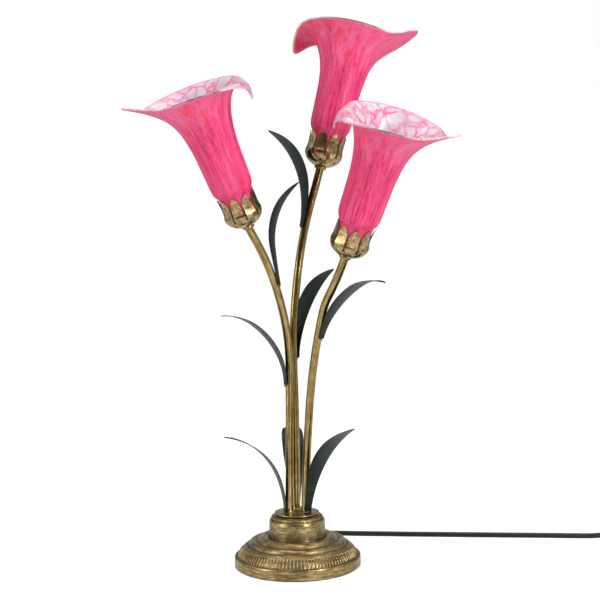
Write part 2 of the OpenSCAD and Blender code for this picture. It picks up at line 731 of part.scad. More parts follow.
// A point of the coil after k turns: in along the table, half a turn of climb, out on top
function coil_point(k) =
  let (
    climb = min(max(2 * (k - turns), 0), 1),
    r = k < turns ? coil_r - turn_pitch * k : coil_in - turn_pitch / 4 * sin(180 * climb)
      + turn_pitch * max(0, k - turns - 0.5),
    z = cord_z + turn_pitch * climb * climb * (3 - 2 * climb),
    a = 90 - 360 * k
  )
  [coil_x + r * cos(a), coil_y + r * sin(a), z];

coil_points = concat(
  [[coil_x - cord_d, switch_y, cord_z]],
  [for (i = [0:24 * (2 * turns + 0.5)]) coil_point(i / 24)],
  [[coil_x - cord_d, coil_y - coil_r, coil_top]]
);
coil_gap = min([
  for (i = [0:len(coil_points) - 1]) for (j = [i + 12:1:len(coil_points) - 1]) norm(coil_points[i] - coil_points[j])
]) - cord_d;
echo(coil_gap = coil_gap);

module cord_coil() color("dimgray") loft(ring_list(coil_points, cord_d / 2, 6));

module cord_tail() cord([
  [coil_x - cord_d, coil_y - coil_r, coil_top], [coil_x - cord_d - 6, coil_y - coil_r, coil_top],
  [coil_x - cord_d - 18, coil_y - coil_r, coil_top - 1.2], [plug_end + tail_relief + 18, coil_y - coil_r, plug_z - 2],
  [plug_end + tail_relief + 6, coil_y - coil_r, plug_z - 0.6], [plug_end + tail_relief - 4, coil_y - coil_r, plug_z],
  [plug_end - plug_sink, coil_y - coil_r, plug_z]
]);

// A flat outline with round corners
module round_box(l, w, r) {
  square([l - 2 * r, w], center = true);
  square([l, w - 2 * r], center = true);
  for (x = [-1, 1]) for (y = [-1, 1]) translate([x * (l / 2 - r), y * (w / 2 - r)]) circle(r);
}

module on_plug() translate([plug_end, coil_y - coil_r, plug_z]) children();

blade_in = 8;
blade_out = 16.5;
blade_w = 6.35;
blade_t = 1.5;

module blade_pair(extra) {
  for (y = [-1, 1]) translate([0, y * blade_gap / 2, 0])
    cube([2 * (blade_in + extra), blade_t + 2 * extra, blade_w + 2 * extra], center = true);
}

module plug_body() color("dimgray") on_plug() {
  difference() {
    union() {
      rotate([90, 0, -90]) linear_extrude(plug_l) round_box(plug_w, plug_h, 5);
      rotate([0, 90, 0]) cylinder(r1 = relief_r + 1, r2 = relief_bore + 0.5, h = tail_relief);
    }
    translate([-plug_sink, 0, 0]) rotate([0, 90, 0]) cylinder(r = relief_bore, h = tail_relief + plug_sink + 1);
    translate([-plug_l, 0, 0]) blade_pair(slide_fit);
  }
}

module plug_blades() color("gold") on_plug() {
  for (y = [-1, 1]) translate([-plug_l - blade_out, y * blade_gap / 2 - blade_t / 2, -blade_w / 2])
    cube([blade_out + blade_in, blade_t, blade_w]);
}

// In-line switch

cavity_l = switch_l - 2 * cord_stop;
cavity_w = switch_w - 2 * switch_t;
pin_z = switch_h - 4;
screw_at = [cavity_l / 2 - 4, cavity_w / 2 - 4];
screw_r = 1.3;
post_r = 2.8;
ear_gap = 0.3;
ear_t = 2.2;
rocker_tilt = 9;

module on_switch() translate([switch_x, switch_y, 0]) children();

module ports() translate([-switch_l, 0, port_z]) rotate([0, 90, 0]) cylinder(r = cord_d / 2 + slide_fit, h = 2 * switch_l);

module at_screws() for (k = [-1, 1]) translate([k * screw_at[0], k * screw_at[1], 0]) children();

module switch_bottom() color("dimgray") on_switch() {
  difference() {
    linear_extrude(switch_split) round_box(switch_l, switch_w, 7);
    difference() {
      translate([0, 0, switch_t]) linear_extrude(switch_h) round_box(cavity_l, cavity_w, 5);
      at_screws() cylinder(r = post_r, h = switch_h);
    }
    at_screws() translate([0, 0, -1]) cylinder(r = screw_r + 0.2, h = switch_h);
    at_screws() translate([0, 0, -1]) cylinder(r = 2.6, h = 2.6);
    ports();
  }
}

module switch_top() color("dimgray") on_switch() {
  lid = switch_h - switch_t;
  difference() {
    translate([0, 0, switch_split]) linear_extrude(switch_h - switch_split) round_box(switch_l, switch_w, 7);
    difference() {
      translate([0, 0, switch_split - 1]) linear_extrude(lid - switch_split + 1) round_box(cavity_l, cavity_w, 5);
      at_screws() cylinder(r = post_r, h = switch_h);
      for (y = [-1, 1]) translate([-3, y * (rocker_w / 2 + ear_gap + ear_t / 2) - ear_t / 2, pin_z - 2.6])
        cube([6, ear_t, switch_h]);
    }
    translate([-rocker_l / 2 - 1, -rocker_w / 2 - ear_gap, lid - 1]) cube([rocker_l + 2, rocker_w + 2 * ear_gap, 5]);
    translate([0, 0, pin_z]) rotate([90, 0, 0])
      cylinder(r = pin_r + slide_fit, h = rocker_w + 2 * ear_gap + 2 * ear_t - 0.4, center = true);
    at_screws() cylinder(r = screw_r + slide_fit, h = lid - 1);
    ports();
  }
}

module switch_rocker() color("gray") on_switch() translate([0, 0, pin_z]) rotate([90, -rocker_tilt, 0]) {
  half = rocker_l / 2;
  translate([0, 0, -rocker_w / 2]) linear_extrude(rocker_w) polygon([
    [-3, -2.6], [3, -2.6], [half, 0.5], [half, 4.6], [0, 3.2], [-half, 4.6], [-half, 0.5]
  ]);
  cylinder(r = pin_r, h = rocker_w + 2 * ear_gap + 2 * ear_t - 0.8, center = true);
}

module switch_contacts() color("gold") on_switch() {
  for (k = [-1, 1]) translate([8 * k - 3, -1.5, switch_t]) cube([6, 3, 4.5]);
}

module switch_screws() color("silver") on_switch() at_screws() {
  translate([0, 0, 0.2]) cylinder(r = 2.4, h = 1.4);
  translate([0, 0, 1]) cylinder(r = screw_r, h = switch_h - switch_t - 2.4);
}

// The nodes

base_shell();
base_pad();
base_weight();
clamp_pipe();
clamp_nut();
clamp_washer();
spacer_ring();
stem_disc();
wire_splice();
base_lead();
cord_relief();
stem_left();
stem_centre();
stem_right();
lead_left();
lead_centre();
lead_right();
leaf_foot_left();
leaf_foot_back();
leaf_foot_right();
leaf_low_left();
leaf_low_centre();
leaf_low_right();
leaf_high_left();
leaf_high_centre();
collar_left();
collar_centre();
collar_right();
cup_left();
cup_centre();
cup_right();
cup_nuts();
holder_left();
holder_centre();
holder_right();
screw_shells();
centre_contacts();
bulb_cap_left();
bulb_cap_centre();
bulb_cap_right();
bulb_glass_left();
bulb_glass_centre();
bulb_glass_right();
throat_left();
throat_centre();
throat_right();
shade_left();
shade_centre();
shade_right();
power_cord();
switch_bottom();
switch_top();
switch_rocker();
switch_contacts();
switch_screws();
cord_middle();
cord_coil();
cord_tail();
plug_body();
plug_blades();
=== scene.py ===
"""Looks of the calla lily accent lamp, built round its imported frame, in millimetres up to each mesh."""

import math
import random

import bmesh
import bpy
import numpy as np
from mathutils import Matrix, Vector


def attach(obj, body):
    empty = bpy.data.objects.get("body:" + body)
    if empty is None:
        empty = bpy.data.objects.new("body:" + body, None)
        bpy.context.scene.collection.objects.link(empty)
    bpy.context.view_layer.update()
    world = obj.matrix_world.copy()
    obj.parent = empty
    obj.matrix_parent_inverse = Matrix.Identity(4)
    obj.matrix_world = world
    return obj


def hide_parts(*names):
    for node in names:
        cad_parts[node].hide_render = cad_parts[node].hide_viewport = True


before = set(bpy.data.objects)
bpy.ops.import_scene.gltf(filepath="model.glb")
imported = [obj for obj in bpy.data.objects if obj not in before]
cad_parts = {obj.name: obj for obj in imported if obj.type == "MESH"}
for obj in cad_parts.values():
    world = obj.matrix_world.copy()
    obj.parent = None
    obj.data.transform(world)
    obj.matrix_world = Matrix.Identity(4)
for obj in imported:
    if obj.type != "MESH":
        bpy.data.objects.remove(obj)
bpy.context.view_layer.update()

MM = 0.001
LEFT, CENTRE, RIGHT = 0, 1, 2
SIDES = ("left", "centre", "right")
AXIS_R = 0.02


def added(name, data):
    """A new object of the scene."""
    made = bpy.data.objects.new(name, data)
    bpy.context.scene.collection.objects.link(made)
    return made


# Camera

CAMERA_AT = (7.2, -1050.0, 290.0)
CAMERA_PITCH = 1.36
CAMERA_ROLL = 1.1
LENS = 63.24
SENSOR = 36.0


def add_camera():
    pitch = math.radians(CAMERA_PITCH)
    roll = math.radians(CAMERA_ROLL)
    ahead = Vector((0, math.cos(pitch), -math.sin(pitch)))
    side = Vector((1, 0, 0))
    up = side.cross(ahead)
    across = math.cos(roll) * side - math.sin(roll) * up
    above = math.sin(roll) * side + math.cos(roll) * up
    camera = added("camera", bpy.data.cameras.new("camera"))
    turn = Matrix((across, above, -ahead)).transposed()
    camera.matrix_world = Matrix.Translation(Vector(CAMERA_AT) * MM) @ turn.to_4x4()
    camera.data.lens = LENS
    camera.data.sensor_width = SENSOR
    camera.data.clip_start = 0.01
    camera.data.clip_end = 50
    bpy.context.scene.camera = camera


# Points and curves

def spline(points, k):
    """The smooth line through all points, at the shares k of its run."""
    p = np.asarray(points, float)
    last = len(p) - 1
    x = np.clip(np.asarray(k, float), 0, 1) * last
    i = np.minimum(np.floor(x).astype(int), last - 1)
    f = (x - i)[..., None]
    padded = np.vstack([2 * p[0] - p[1], p, 2 * p[-1] - p[-2]])
    a, b, c, d = padded[i], padded[i + 1], padded[i + 2], padded[i + 3]
    cubic = (3 * b - a - 3 * c + d) * f
    return 0.5 * (2 * b + (c - a + (2 * a - 5 * b + 4 * c - d + cubic) * f) * f)


def along(points, n):
    """n points of the smooth line through all points."""
    return spline(points, np.linspace(0, 1, n))


def bend_line(a, c, b, n):
    """n + 1 points of the curve from a to b that leans to c."""
    k = np.linspace(0, 1, n + 1)[:, None]
    return np.array(a) * (1 - k) ** 2 + np.array(c) * 2 * k * (1 - k) + np.array(b) * k * k


def run_length(points):
    """Distance along a line at each of its points."""
    steps = np.linalg.norm(np.diff(np.asarray(points, float), axis=0), axis=1)
    return np.concatenate([[0], np.cumsum(steps)])


def softened(profile, radius, closed=False, steps=3):
    """An outline with its corners rounded to about radius."""
    p = np.asarray(profile, float)
    n = len(p)
    out = []
    for i in range(n):
        if not closed and i in (0, n - 1):
            out.append(p[i])
            continue
        before, here, after = p[i - 1], p[i], p[(i + 1) % n]
        reach_in = min(radius, 0.45 * np.linalg.norm(before - here))
        reach_out = min(radius, 0.45 * np.linalg.norm(after - here))
        start = here + (before - here) / np.linalg.norm(before - here) * reach_in
        end = here + (after - here) / np.linalg.norm(after - here) * reach_out
        out.extend(bend_line(start, here, end, steps))
    return np.array(out)


# Meshes

def grid_faces(rows, columns, ring=True, loop=False):
    """Faces of a grid of points. ring joins its columns round, loop joins its last row to its first."""
    faces = []
    for j in range(rows if loop else rows - 1):
        k = (j + 1) % rows
        for i in range(columns if ring else columns - 1):
            h = (i + 1) % columns
            faces.append((j * columns + i, j * columns + h, k * columns + h, k * columns + i))
    return faces


def capped_faces(rows, columns):
    """Faces of a grid of rings that is closed at both ends."""
    last = rows * columns
    return grid_faces(rows, columns) + [tuple(range(columns))[::-1], tuple(range(last - columns, last))]


def circle(count):
    """Angles all round."""
    return np.linspace(0, 2 * math.pi, count, endpoint=False)


def piece(name, points, faces, finish, *nodes, body="lamp", slot=None, marks=None, parts=(), crease=40, weld=0):
    """A mesh of the object from points in millimetres, with its finishes and the CAD nodes it stands for."""
    points = np.asarray(points, float).reshape(-1, 3)
    finishes = finish if isinstance(finish, list) else [finish]
    mesh = bpy.data.meshes.new(name)
    mesh.from_pydata((points * MM).tolist(), [], [tuple(int(i) for i in face) for face in faces])
    for material in finishes:
        mesh.materials.append(material)
    if len(parts):
        mesh.polygons.foreach_set("material_index", np.asarray(parts, np.int32))
    for key, values in (marks or {"grain": points * 0.5}).items():
        values = np.asarray(values, np.float32)
        kind, field = ("FLOAT_VECTOR", "vector") if values.size == points.size else ("FLOAT", "value")
        mesh.attributes.new(key, kind, "POINT").data.foreach_set(field, values.ravel())
    work = bmesh.new()
    work.from_mesh(mesh)
    if weld:
        bmesh.ops.remove_doubles(work, verts=work.verts, dist=weld * MM)
    bmesh.ops.recalc_face_normals(work, faces=work.faces)
    work.to_mesh(mesh)
    work.free()
    mesh.polygons.foreach_set("use_smooth", np.ones(len(mesh.polygons), bool))
    mesh.set_sharp_from_angle(angle=math.radians(crease))
    made = added(name, mesh)
    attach(made, body)
    if nodes:
        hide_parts(*nodes)
    return made


def ring_piece(name, rings, finish, *nodes, **more):
    """A piece through rings of points, the last of which joins the first."""
    return piece(name, rings, grid_faces(len(rings), rings.shape[1], True, True), finish, *nodes, **more)


def faced_out(made, inner):
    """Turns the faces of a mesh away from a point inside it."""
    work = bmesh.new()
    work.from_mesh(made.data)
    bmesh.ops.recalc_face_normals(work, faces=work.faces)
    middle = Vector(inner) * MM
    outward = ((face.calc_center_median() - middle).dot(face.normal) * face.calc_area() for face in work.faces)
    if sum(outward) < 0:
        bmesh.ops.reverse_faces(work, faces=work.faces)
    work.to_mesh(made.data)
    work.free()


def settled(made):
    """Applies a piece's modifiers to its mesh."""
    bpy.context.view_layer.update()
    graph = bpy.context.evaluated_depsgraph_get()
    mesh = bpy.data.meshes.new_from_object(made.evaluated_get(graph), depsgraph=graph)
    made.modifiers.clear()
    made.data = mesh
    return made


def bevelled(made, width, least_bend, sharp_bend):
    """Rounds the edges of a piece that bend by more than some degrees."""
    edge = made.modifiers.new("edge", "BEVEL")
    edge.width = width * MM
    edge.segments = 2
    edge.limit_method = "ANGLE"
    edge.angle_limit = math.radians(least_bend)
    settled(made)
    made.data.set_sharp_from_angle(angle=math.radians(sharp_bend))


def cut_with(made, *shapes):
    """Takes shapes out of a piece, each of them two rings of points."""
    cutters = []
    for points in shapes:
        mesh = bpy.data.meshes.new("cutter")
        mesh.from_pydata((np.asarray(points, float) * MM).tolist(), [], capped_faces(2, len(points) // 2))
        cutters.append(added("cutter", mesh))
        cut = made.modifiers.new("cut", "BOOLEAN")
        cut.object = cutters[-1]
        cut.operation = "DIFFERENCE"
        cut.solver = "EXACT"
    settled(made)
    for cutter in cutters:
        bpy.data.objects.remove(cutter)


def round_rings(r, z, columns):
    """Rings of points round the axis: a radius and a height for each ring, or for each point."""
    angle = circle(columns)
    r, z = (np.broadcast_to(values, (len(values), columns)) for values in (r, z))
    return np.stack([r * np.cos(angle), r * np.sin(angle), z], axis=2)


def grain_marks(radius, columns, run):
    """Coordinates of brush marks on a round piece, from the run along it."""
    c = np.broadcast_to(radius * np.cos(circle(columns)), run.shape)
    s = np.broadcast_to(radius * np.sin(circle(columns)), run.shape)
    return np.stack([c, s, run], axis=2)


def turned_points(profile, columns):
    """Rings of an outline of radius and height turned round the axis, with its brush marks' coordinates."""
    p = np.asarray(profile, float)
    points = round_rings(p[:, :1], p[:, 1:], columns)
    run = np.repeat(run_length(p)[:, None], columns, 1)
    return points, grain_marks(5, columns, run)


def turned(name, profile, finish, node, columns, radius, place=np.asarray):
    """A turned piece with softened corners."""
    outline = softened(profile, radius, True)
    points, grain = turned_points(outline, columns)
    ring_piece(name, place(points), finish, node, marks={"grain": grain}, weld=0.002)


def tube_rings(line, radius, columns):
    """Rings of points round a line, and their brush marks' coordinates."""
    ahead = np.gradient(line, axis=0)
    ahead /= np.linalg.norm(ahead, axis=1)[:, None]
    u = np.cross(np.array([1.0, 0.0, 0.0]), ahead)
    u /= np.linalg.norm(u, axis=1)[:, None]
    v = np.cross(ahead, u)
    c, s = np.cos(circle(columns)), np.sin(circle(columns))
    out = c[None, :, None] * u[:, None] + s[None, :, None] * v[:, None]
    run = np.repeat(run_length(line)[:, None], columns, 1)
    return line[:, None] + radius * out, grain_marks(radius, columns, run / 16)


# Materials

def rgb(red, green, blue):
    """A colour written as it looks, from 0 to 255, as the shader takes it."""
    parts = []
    for value in (red, green, blue):
        share = value / 255
        parts.append(share / 12.92 if share <= 0.04045 else ((share + 0.055) / 1.055) ** 2.4)
    return (*parts, 1.0)


class Nodes:
    """Short calls for the nodes of a tree."""

    def __init__(self, tree):
        self.tree = tree

    def link(self, source, target):
        self.tree.links.new(source, target)

    def node(self, kind, inputs, **settings):
        """A node with its settings, its inputs given as values or as the sockets that feed them."""
        made = self.tree.nodes.new("ShaderNode" + kind)
        for key, value in settings.items():
            setattr(made, key, value)
        for key, value in inputs.items():
            if isinstance(value, bpy.types.NodeSocket):
                self.link(value, made.inputs[key])
            else:
                made.inputs[key].default_value = value
        return made

    def sum(self, a, b, operation="ADD", clamp=False):
        return self.node("Math", {0: a, 1: b}, operation=operation, use_clamp=clamp).outputs[0]

    def times(self, a, b, clamp=False):
        return self.sum(a, b, "MULTIPLY", clamp)

    def weighed(self, first, *others):
        """The sum of values, each given with its weight."""
        total = self.times(*first)
        for value, weight in others:
            total = self.sum(total, self.times(value, weight))
        return total

    def steps(self, value, low, high, start=0.0, end=1.0):
        """From start below low to end above high, smooth between them."""
        inputs = {"Value": value, "From Min": low, "From Max": high, "To Min": start, "To Max": end}
        return self.node("MapRange", inputs, interpolation_type="SMOOTHSTEP").outputs["Result"]


class Finish(Nodes):
    """A node material with one Principled shader. Colours are written as they look, from 0 to 255."""

    def __init__(self, name, **sockets):
        self.material = bpy.data.materials.new(name)
        self.material.use_nodes = True
        super().__init__(self.material.node_tree)
        self.shader = self.tree.nodes["Principled BSDF"]
        for key, value in sockets.items():
            self.shader.inputs[key.replace("_", " ")].default_value = value

    def mark(self, name, kind="Fac"):
        return self.node("Attribute", {}, attribute_name=name).outputs[kind]

    def place(self):
        return self.node("TexCoord", {}).outputs["Object"]

    def stretched(self, vector, z=1.0, y=1.0):
        return self.node("Mapping", {"Vector": vector, "Scale": (1.0, y, z)}).outputs["Vector"]

    def moved(self, vector, by, amount):
        """A vector pushed about by a noise."""
        inputs = {0: by, 1: (amount, amount, amount), 2: vector}
        return self.node("VectorMath", inputs, operation="MULTIPLY_ADD").outputs[0]

    def noise(self, vector, scale, detail=2.0, rough=0.5, output="Fac"):
        inputs = {"Vector": vector, "Scale": scale, "Detail": detail, "Roughness": rough}
        return self.node("TexNoise", inputs).outputs[output]

    def cells(self, vector, scale):
        """Distance to the edge of a cell."""
        inputs = {"Vector": vector, "Scale": scale}
        return self.node("TexVoronoi", inputs, feature="DISTANCE_TO_EDGE").outputs["Distance"]

    def scaled(self, value, low, high):
        """The values from 0 to 1 spread from low to high."""
        return self.node("MapRange", {"Value": value, "To Min": low, "To Max": high}).outputs["Result"]

    def ramp(self, value, *stops):
        """A colour ramp whose stops are rows of place, red, green and blue."""
        made = self.node("ValToRGB", {"Fac": value})
        row = made.color_ramp.elements
        while len(row) < len(stops):
            row.new(1.0)
        for element, (at, *colour) in zip(row, stops):
            element.position = at
            element.color = rgb(*colour)
        return made.outputs["Color"]

    def mix(self, share, a, b, strength=None):
        """Goes from a to b by a share, or by a share of that share."""
        if strength is not None:
            share = self.times(share, strength)
        a, b = (rgb(*colour) if isinstance(colour, tuple) else colour for colour in (a, b))
        return self.node("Mix", {"Factor": share, 6: a, 7: b}, data_type="RGBA").outputs[2]

    def bump(self, height, distance, strength=1.0):
        """Bump of the given depth in millimetres."""
        made = self.node("Bump", {"Height": height, "Distance": distance * MM, "Strength": strength})
        old = self.shader.inputs["Normal"].links
        if old:
            self.link(old[0].from_socket, made.inputs["Normal"])
        self.link(made.outputs["Normal"], self.shader.inputs["Normal"])

    def colour(self, value):
        self.link(value, self.shader.inputs["Base Color"])

    def rough(self, value, low, high):
        """Roughness from low to high as the value goes from 0 to 1."""
        self.link(self.scaled(value, low, high), self.shader.inputs["Roughness"])


def antique_brass(name, dark, middle, light, spread, patina, streaks=1.0, shine=(0.22, 0.4)):
    """Brass, brushed along its grain, with dark patina and painted shade in its recesses, under a thin clear
    lacquer.
    """
    f = Finish(name, Metallic=1.0, Coat_Weight=0.3, Coat_Roughness=0.18)
    grain = f.mark("grain", "Vector")
    fine = f.noise(grain, 1.9 * streaks, 4, 0.6)
    coarse = f.noise(grain, 0.55 * streaks, 2)
    blotch = f.noise(f.place(), 130, 4, 0.6)
    tone = f.weighed((fine, 0.5), (coarse, 0.3), (blotch, 0.2))
    base = f.ramp(tone, (0.5 - spread, *dark), (0.5, *middle), (0.5 + spread, *light))
    # The recess mark paints both dark patina and shade: near black where it is full.
    recess = f.times(f.mark("recess"), f.scaled(fine, 0.7, 1.2), True)
    stain = f.steps(f.noise(f.place(), 55, 5, 0.65), 0.5, 0.72)
    base = f.mix(stain, base, dark, patina)
    f.colour(f.mix(recess, base, (24, 20, 14)))
    shine = f.sum(f.scaled(fine, *shine), f.times(recess, 0.4), "ADD", True)
    f.link(shine, f.shader.inputs["Roughness"])
    f.bump(fine, 0.04, 0.5)
    f.bump(blotch, 0.06, 0.3)
    return f.material


def leaf_metal():
    """Dark green patina on stamped sheet, with fine lines along the leaf and a painted highlight along its
    edges.
    """
    f = Finish("leaf_patina_finish", Metallic=0.8, Coat_Weight=0.1, Coat_Roughness=0.4)
    grain = f.mark("grain", "Vector")
    lines = f.noise(f.stretched(grain, y=0.05), 2.6, 3, 0.6)
    ribs = f.noise(f.stretched(grain, y=0.02), 0.8, 2)
    blotch = f.noise(f.place(), 75, 4, 0.6)
    tone = f.weighed((lines, 0.4), (ribs, 0.3), (blotch, 0.3))
    base = f.ramp(tone, (0.36, 8, 18, 15), (0.5, 19, 35, 29), (0.66, 50, 66, 58))
    # Painted highlight along the leaf's edges, broken up by the blotch noise.
    edge = f.times(f.mark("edge"), f.steps(blotch, 0.3, 0.6), True)
    f.colour(f.mix(edge, base, (84, 82, 68), 0.6))
    f.rough(lines, 0.3, 0.5)
    f.bump(lines, 0.12, 0.6)
    f.bump(blotch, 0.1, 0.3)
    return f.material


def outer_glass():
    """Pink cased glass: crimson and lilac streaks up the throat that open into coral cells with lilac veins."""
    f = Finish("pink_glass_outside", Coat_Weight=0.12, Coat_Roughness=0.3, Specular_IOR_Level=0.3)
    at = f.mark("straight", "Vector")
    flare = f.mark("flare")
    wavy = f.moved(at, f.noise(f.stretched(at, 0.3), 0.1, 3, 0.55, "Color"), 7.0)
    streak = f.noise(f.stretched(wavy, 0.045), 0.8, 4, 0.6)
    hair = f.noise(f.stretched(wavy, 0.03), 2.6, 3, 0.6)
    broad = f.noise(f.stretched(wavy, 0.1), 0.17, 2)
    tone = f.weighed((streak, 0.45), (broad, 0.3), (hair, 0.25))
    throat = f.ramp(tone, (0.38, 166, 22, 72), (0.45, 208, 38, 92), (0.53, 234, 66, 118), (0.62, 240, 100, 150))
    edge = f.cells(f.stretched(wavy, 0.32), 0.16)
    vein = f.times(f.sum(1.0, f.steps(edge, 0.0, 0.16), "SUBTRACT"), f.scaled(hair, -0.1, 1.3), True)
    heart = f.ramp(tone, (0.4, 222, 48, 88), (0.48, 240, 72, 114), (0.55, 246, 96, 140), (0.62, 240, 128, 172))
    heart = f.mix(f.steps(edge, 0.12, 0.42), heart, (246, 70, 92), 0.55)
    cell = f.mix(vein, heart, (226, 118, 174), 0.85)
    zone = f.steps(f.sum(flare, f.scaled(broad, -0.4, 0.4)), -0.05, 0.6)
    base = f.mix(zone, throat, cell)
    base = f.mix(f.steps(hair, 0.53, 0.68), base, (210, 108, 162), 0.5)
    base = f.mix(f.steps(streak, 0.56, 0.68), base, (160, 30, 84), 0.5)
    f.colour(f.mix(f.steps(flare, 0.93, 1.0), base, (228, 140, 182), 0.5))
    f.rough(streak, 0.4, 0.56)
    f.bump(broad, 0.5, 0.5)
    f.bump(streak, 0.1, 0.35)
    return f.material


def inner_glass():
    """The white inner layer, under a net of pink veins with grey hair lines, and crimson strokes at the lip."""
    f = Finish("pink_glass_inside", Coat_Weight=0.25, Coat_Roughness=0.15)
    at = f.mark("straight", "Vector")
    flare = f.mark("flare")
    wavy = f.moved(at, f.noise(f.stretched(at, 0.5), 0.14, 3, 0.6, "Color"), 7.0)
    blush = f.noise(wavy, 0.12, 3)
    ground = f.ramp(blush, (0.38, 232, 190, 210), (0.5, 218, 206, 212), (0.62, 200, 192, 199))
    lines = f.noise(f.stretched(wavy, 0.03), 3.0, 3, 0.6)
    ground = f.mix(f.steps(lines, 0.52, 0.66), ground, (150, 138, 152), 0.4)
    edge = f.cells(f.stretched(wavy, 0.3), 0.15)
    vein = f.times(f.sum(1.0, f.steps(edge, 0.0, 0.14), "SUBTRACT"), f.scaled(lines, 0.0, 1.6), True)
    vein = f.times(vein, f.scaled(blush, 2.0, 0.0), True)
    base = f.mix(vein, ground, (224, 74, 140), 0.9)
    stroke = f.steps(f.noise(f.stretched(wavy, 0.1), 0.6, 2), 0.52, 0.6)
    stroke = f.times(stroke, f.steps(f.mark("lip"), 0.08, 0.45))
    stroke = f.times(stroke, f.steps(flare, 0.45, 0.7), True)
    base = f.mix(stroke, base, (204, 26, 96))
    feather = f.steps(f.sum(flare, f.scaled(lines, -0.12, 0.12)), 0.86, 1.0)
    base = f.mix(feather, base, (228, 120, 170), 0.7)
    f.colour(f.mix(f.steps(flare, -0.4, 0.25), (232, 164, 192), base))
    f.rough(blush, 0.25, 0.4)
    f.bump(blush, 0.4, 0.5)
    return f.material


def rim_glass():
    """The ground edge: pink casing over clear glass, with painted shade along its front, where the rim faces
    −Y.
    """
    f = Finish("glass_rim", Coat_Weight=0.4, Coat_Roughness=0.08)
    at = f.mark("straight", "Vector")
    cloud = f.noise(at, 0.3, 4, 0.6)
    pale = ((0.34, 176, 160, 164), (0.46, 214, 176, 192), (0.56, 226, 206, 214), (0.68, 228, 124, 168))
    # Painted shade: the rim darkens where it faces −Y.
    stain = f.steps(f.sum(f.mark("front"), f.scaled(cloud, -0.3, 0.3)), 0.76, 0.98)
    f.colour(f.mix(stain, f.ramp(cloud, *pale), (66, 50, 44), 0.85))
    f.rough(cloud, 0.12, 0.3)
    f.bump(f.noise(at, 1.2, 2), 0.1, 0.4)
    return f.material


def plastic(name, dark, light, rough=(0.35, 0.5), grain=0.04, size=900):
    """A moulded or coated surface with a fine grain."""
    f = Finish(name)
    cloud = f.noise(f.place(), size / 9, 3)
    f.colour(f.mix(cloud, dark, light))
    f.rough(cloud, *rough)
    f.bump(f.noise(f.place(), size, 3, 0.6), grain, 0.5)
    return f.material


def metal(name, dark, light, rough=(0.2, 0.36)):
    """Plain worked metal with light handling marks."""
    f = Finish(name, Metallic=1.0)
    marks = f.noise(f.stretched(f.place(), 9.0), 480, 2)
    f.colour(f.mix(f.noise(f.place(), 240, 4, 0.6), dark, light))
    f.rough(marks, *rough)
    f.bump(marks, 0.02, 0.4)
    return f.material


def felt():
    """Black wool felt."""
    f = Finish("felt_finish", Roughness=0.95, Sheen_Weight=0.4, Sheen_Roughness=0.5)
    fibre = f.noise(f.place(), 1600, 4, 0.7)
    f.colour(f.mix(f.times(fibre, f.noise(f.place(), 90, 3)), (16, 17, 18), (62, 64, 66)))
    f.bump(fibre, 0.25, 0.8)
    return f.material


def opal_glass():
    """Opal glass of an unlit lamp."""
    f = Finish("bulb_glass_finish", Transmission_Weight=0.25, Coat_Weight=0.5, Coat_Roughness=0.04)
    cloud = f.noise(f.place(), 60, 3)
    f.colour(f.ramp(cloud, (0.35, 226, 224, 216), (0.65, 247, 246, 241)))
    f.rough(cloud, 0.16, 0.3)
    f.bump(cloud, 0.1, 0.3)
    return f.material


BRASS = antique_brass("base_brass", (62, 49, 22), (154, 130, 80), (238, 218, 168), 0.17, 0.35)
TUBE_BRASS = antique_brass(
    "tube_brass", (70, 56, 26), (156, 131, 74), (228, 206, 146), 0.2, 0.25, 0.8, (0.18, 0.28)
)
CUP_BRASS = antique_brass(
    "cup_brass", (84, 68, 34), (168, 143, 92), (240, 222, 176), 0.15, 0.3, 1.0, (0.16, 0.28)
)
LEAF = leaf_metal()
GLASS_OUT = outer_glass()
GLASS_IN = inner_glass()
GLASS_RIM = rim_glass()
CORD = plastic("cord_cover_finish", (4, 4, 5), (10, 10, 11), (0.34, 0.46), 0.03, 700)
SWITCH = plastic("switch_plastic_finish", (16, 16, 17), (34, 34, 36), (0.34, 0.5), 0.06, 1500)
HOLDER = plastic("holder_plastic_finish", (214, 205, 182), (238, 232, 214), (0.3, 0.45))
SPLICE = plastic("splice_plastic_finish", (200, 176, 120), (232, 212, 160))
LEAD = plastic("lead_cover_finish", (200, 190, 160), (232, 226, 204))
BLACK = metal("black_metal_finish", (22, 21, 20), (54, 51, 46), (0.35, 0.5))
NICKEL = metal("nickel_finish", (150, 146, 138), (208, 204, 196))
STEEL = metal("steel_finish", (128, 130, 132), (182, 184, 186))
BRIGHT = metal("bright_brass_finish", (176, 138, 60), (232, 196, 112))
IRON = metal("iron_finish", (40, 40, 42), (86, 86, 88), (0.5, 0.7))
FELT = felt()
OPAL = opal_glass()


# The cords: first the routes, which lie as their solids do

CORD_R = 2.75
SWITCH_AT = (386.0, 76.0)
COIL_AT = (475.0, 34.0)
TURNS = 3
PITCH = 6.0
COIL_R = 42.0
ROUTE_OUT = [
    (0, 86, 6.1), (0, 87.5, 6.1), (0.2, 92, 5.5), (1, 97, 4.7), (4, 104, 3.6),
    (9, 110, 3), (16, 114, 2.75), (24, 115.5, 2.75), (34, 115, 2.75), (50, 113, 2.75), (70, 110, 2.75),
    (95, 107, 2.75), (120, 103.5, 2.75), (150, 100, 2.75), (180, 96.5, 2.75), (210, 93, 2.75),
    (240, 89.5, 2.75), (270, 86, 2.75), (298, 82.5, 2.75), (318, 79.5, 3.2), (336, 77, 5), (348, 76, 6.8),
    (353, 76, 7), (359, 76, 7),
]
ROUTE_MIDDLE = [
    (413, 76, 7), (419, 76, 7), (429, 76, 5.4), (441, 76, 3.45), (453, 76, 2.75), (463.5, 76, 2.75),
    (469.5, 76, 2.75),
]
ROUTE_TAIL = [
    (469.5, -8, 8.75), (463.5, -8, 8.75), (451.5, -8, 7.55), (442, -8, 6), (430, -8, 7.4), (420, -8, 8),
    (404, -8, 8),
]


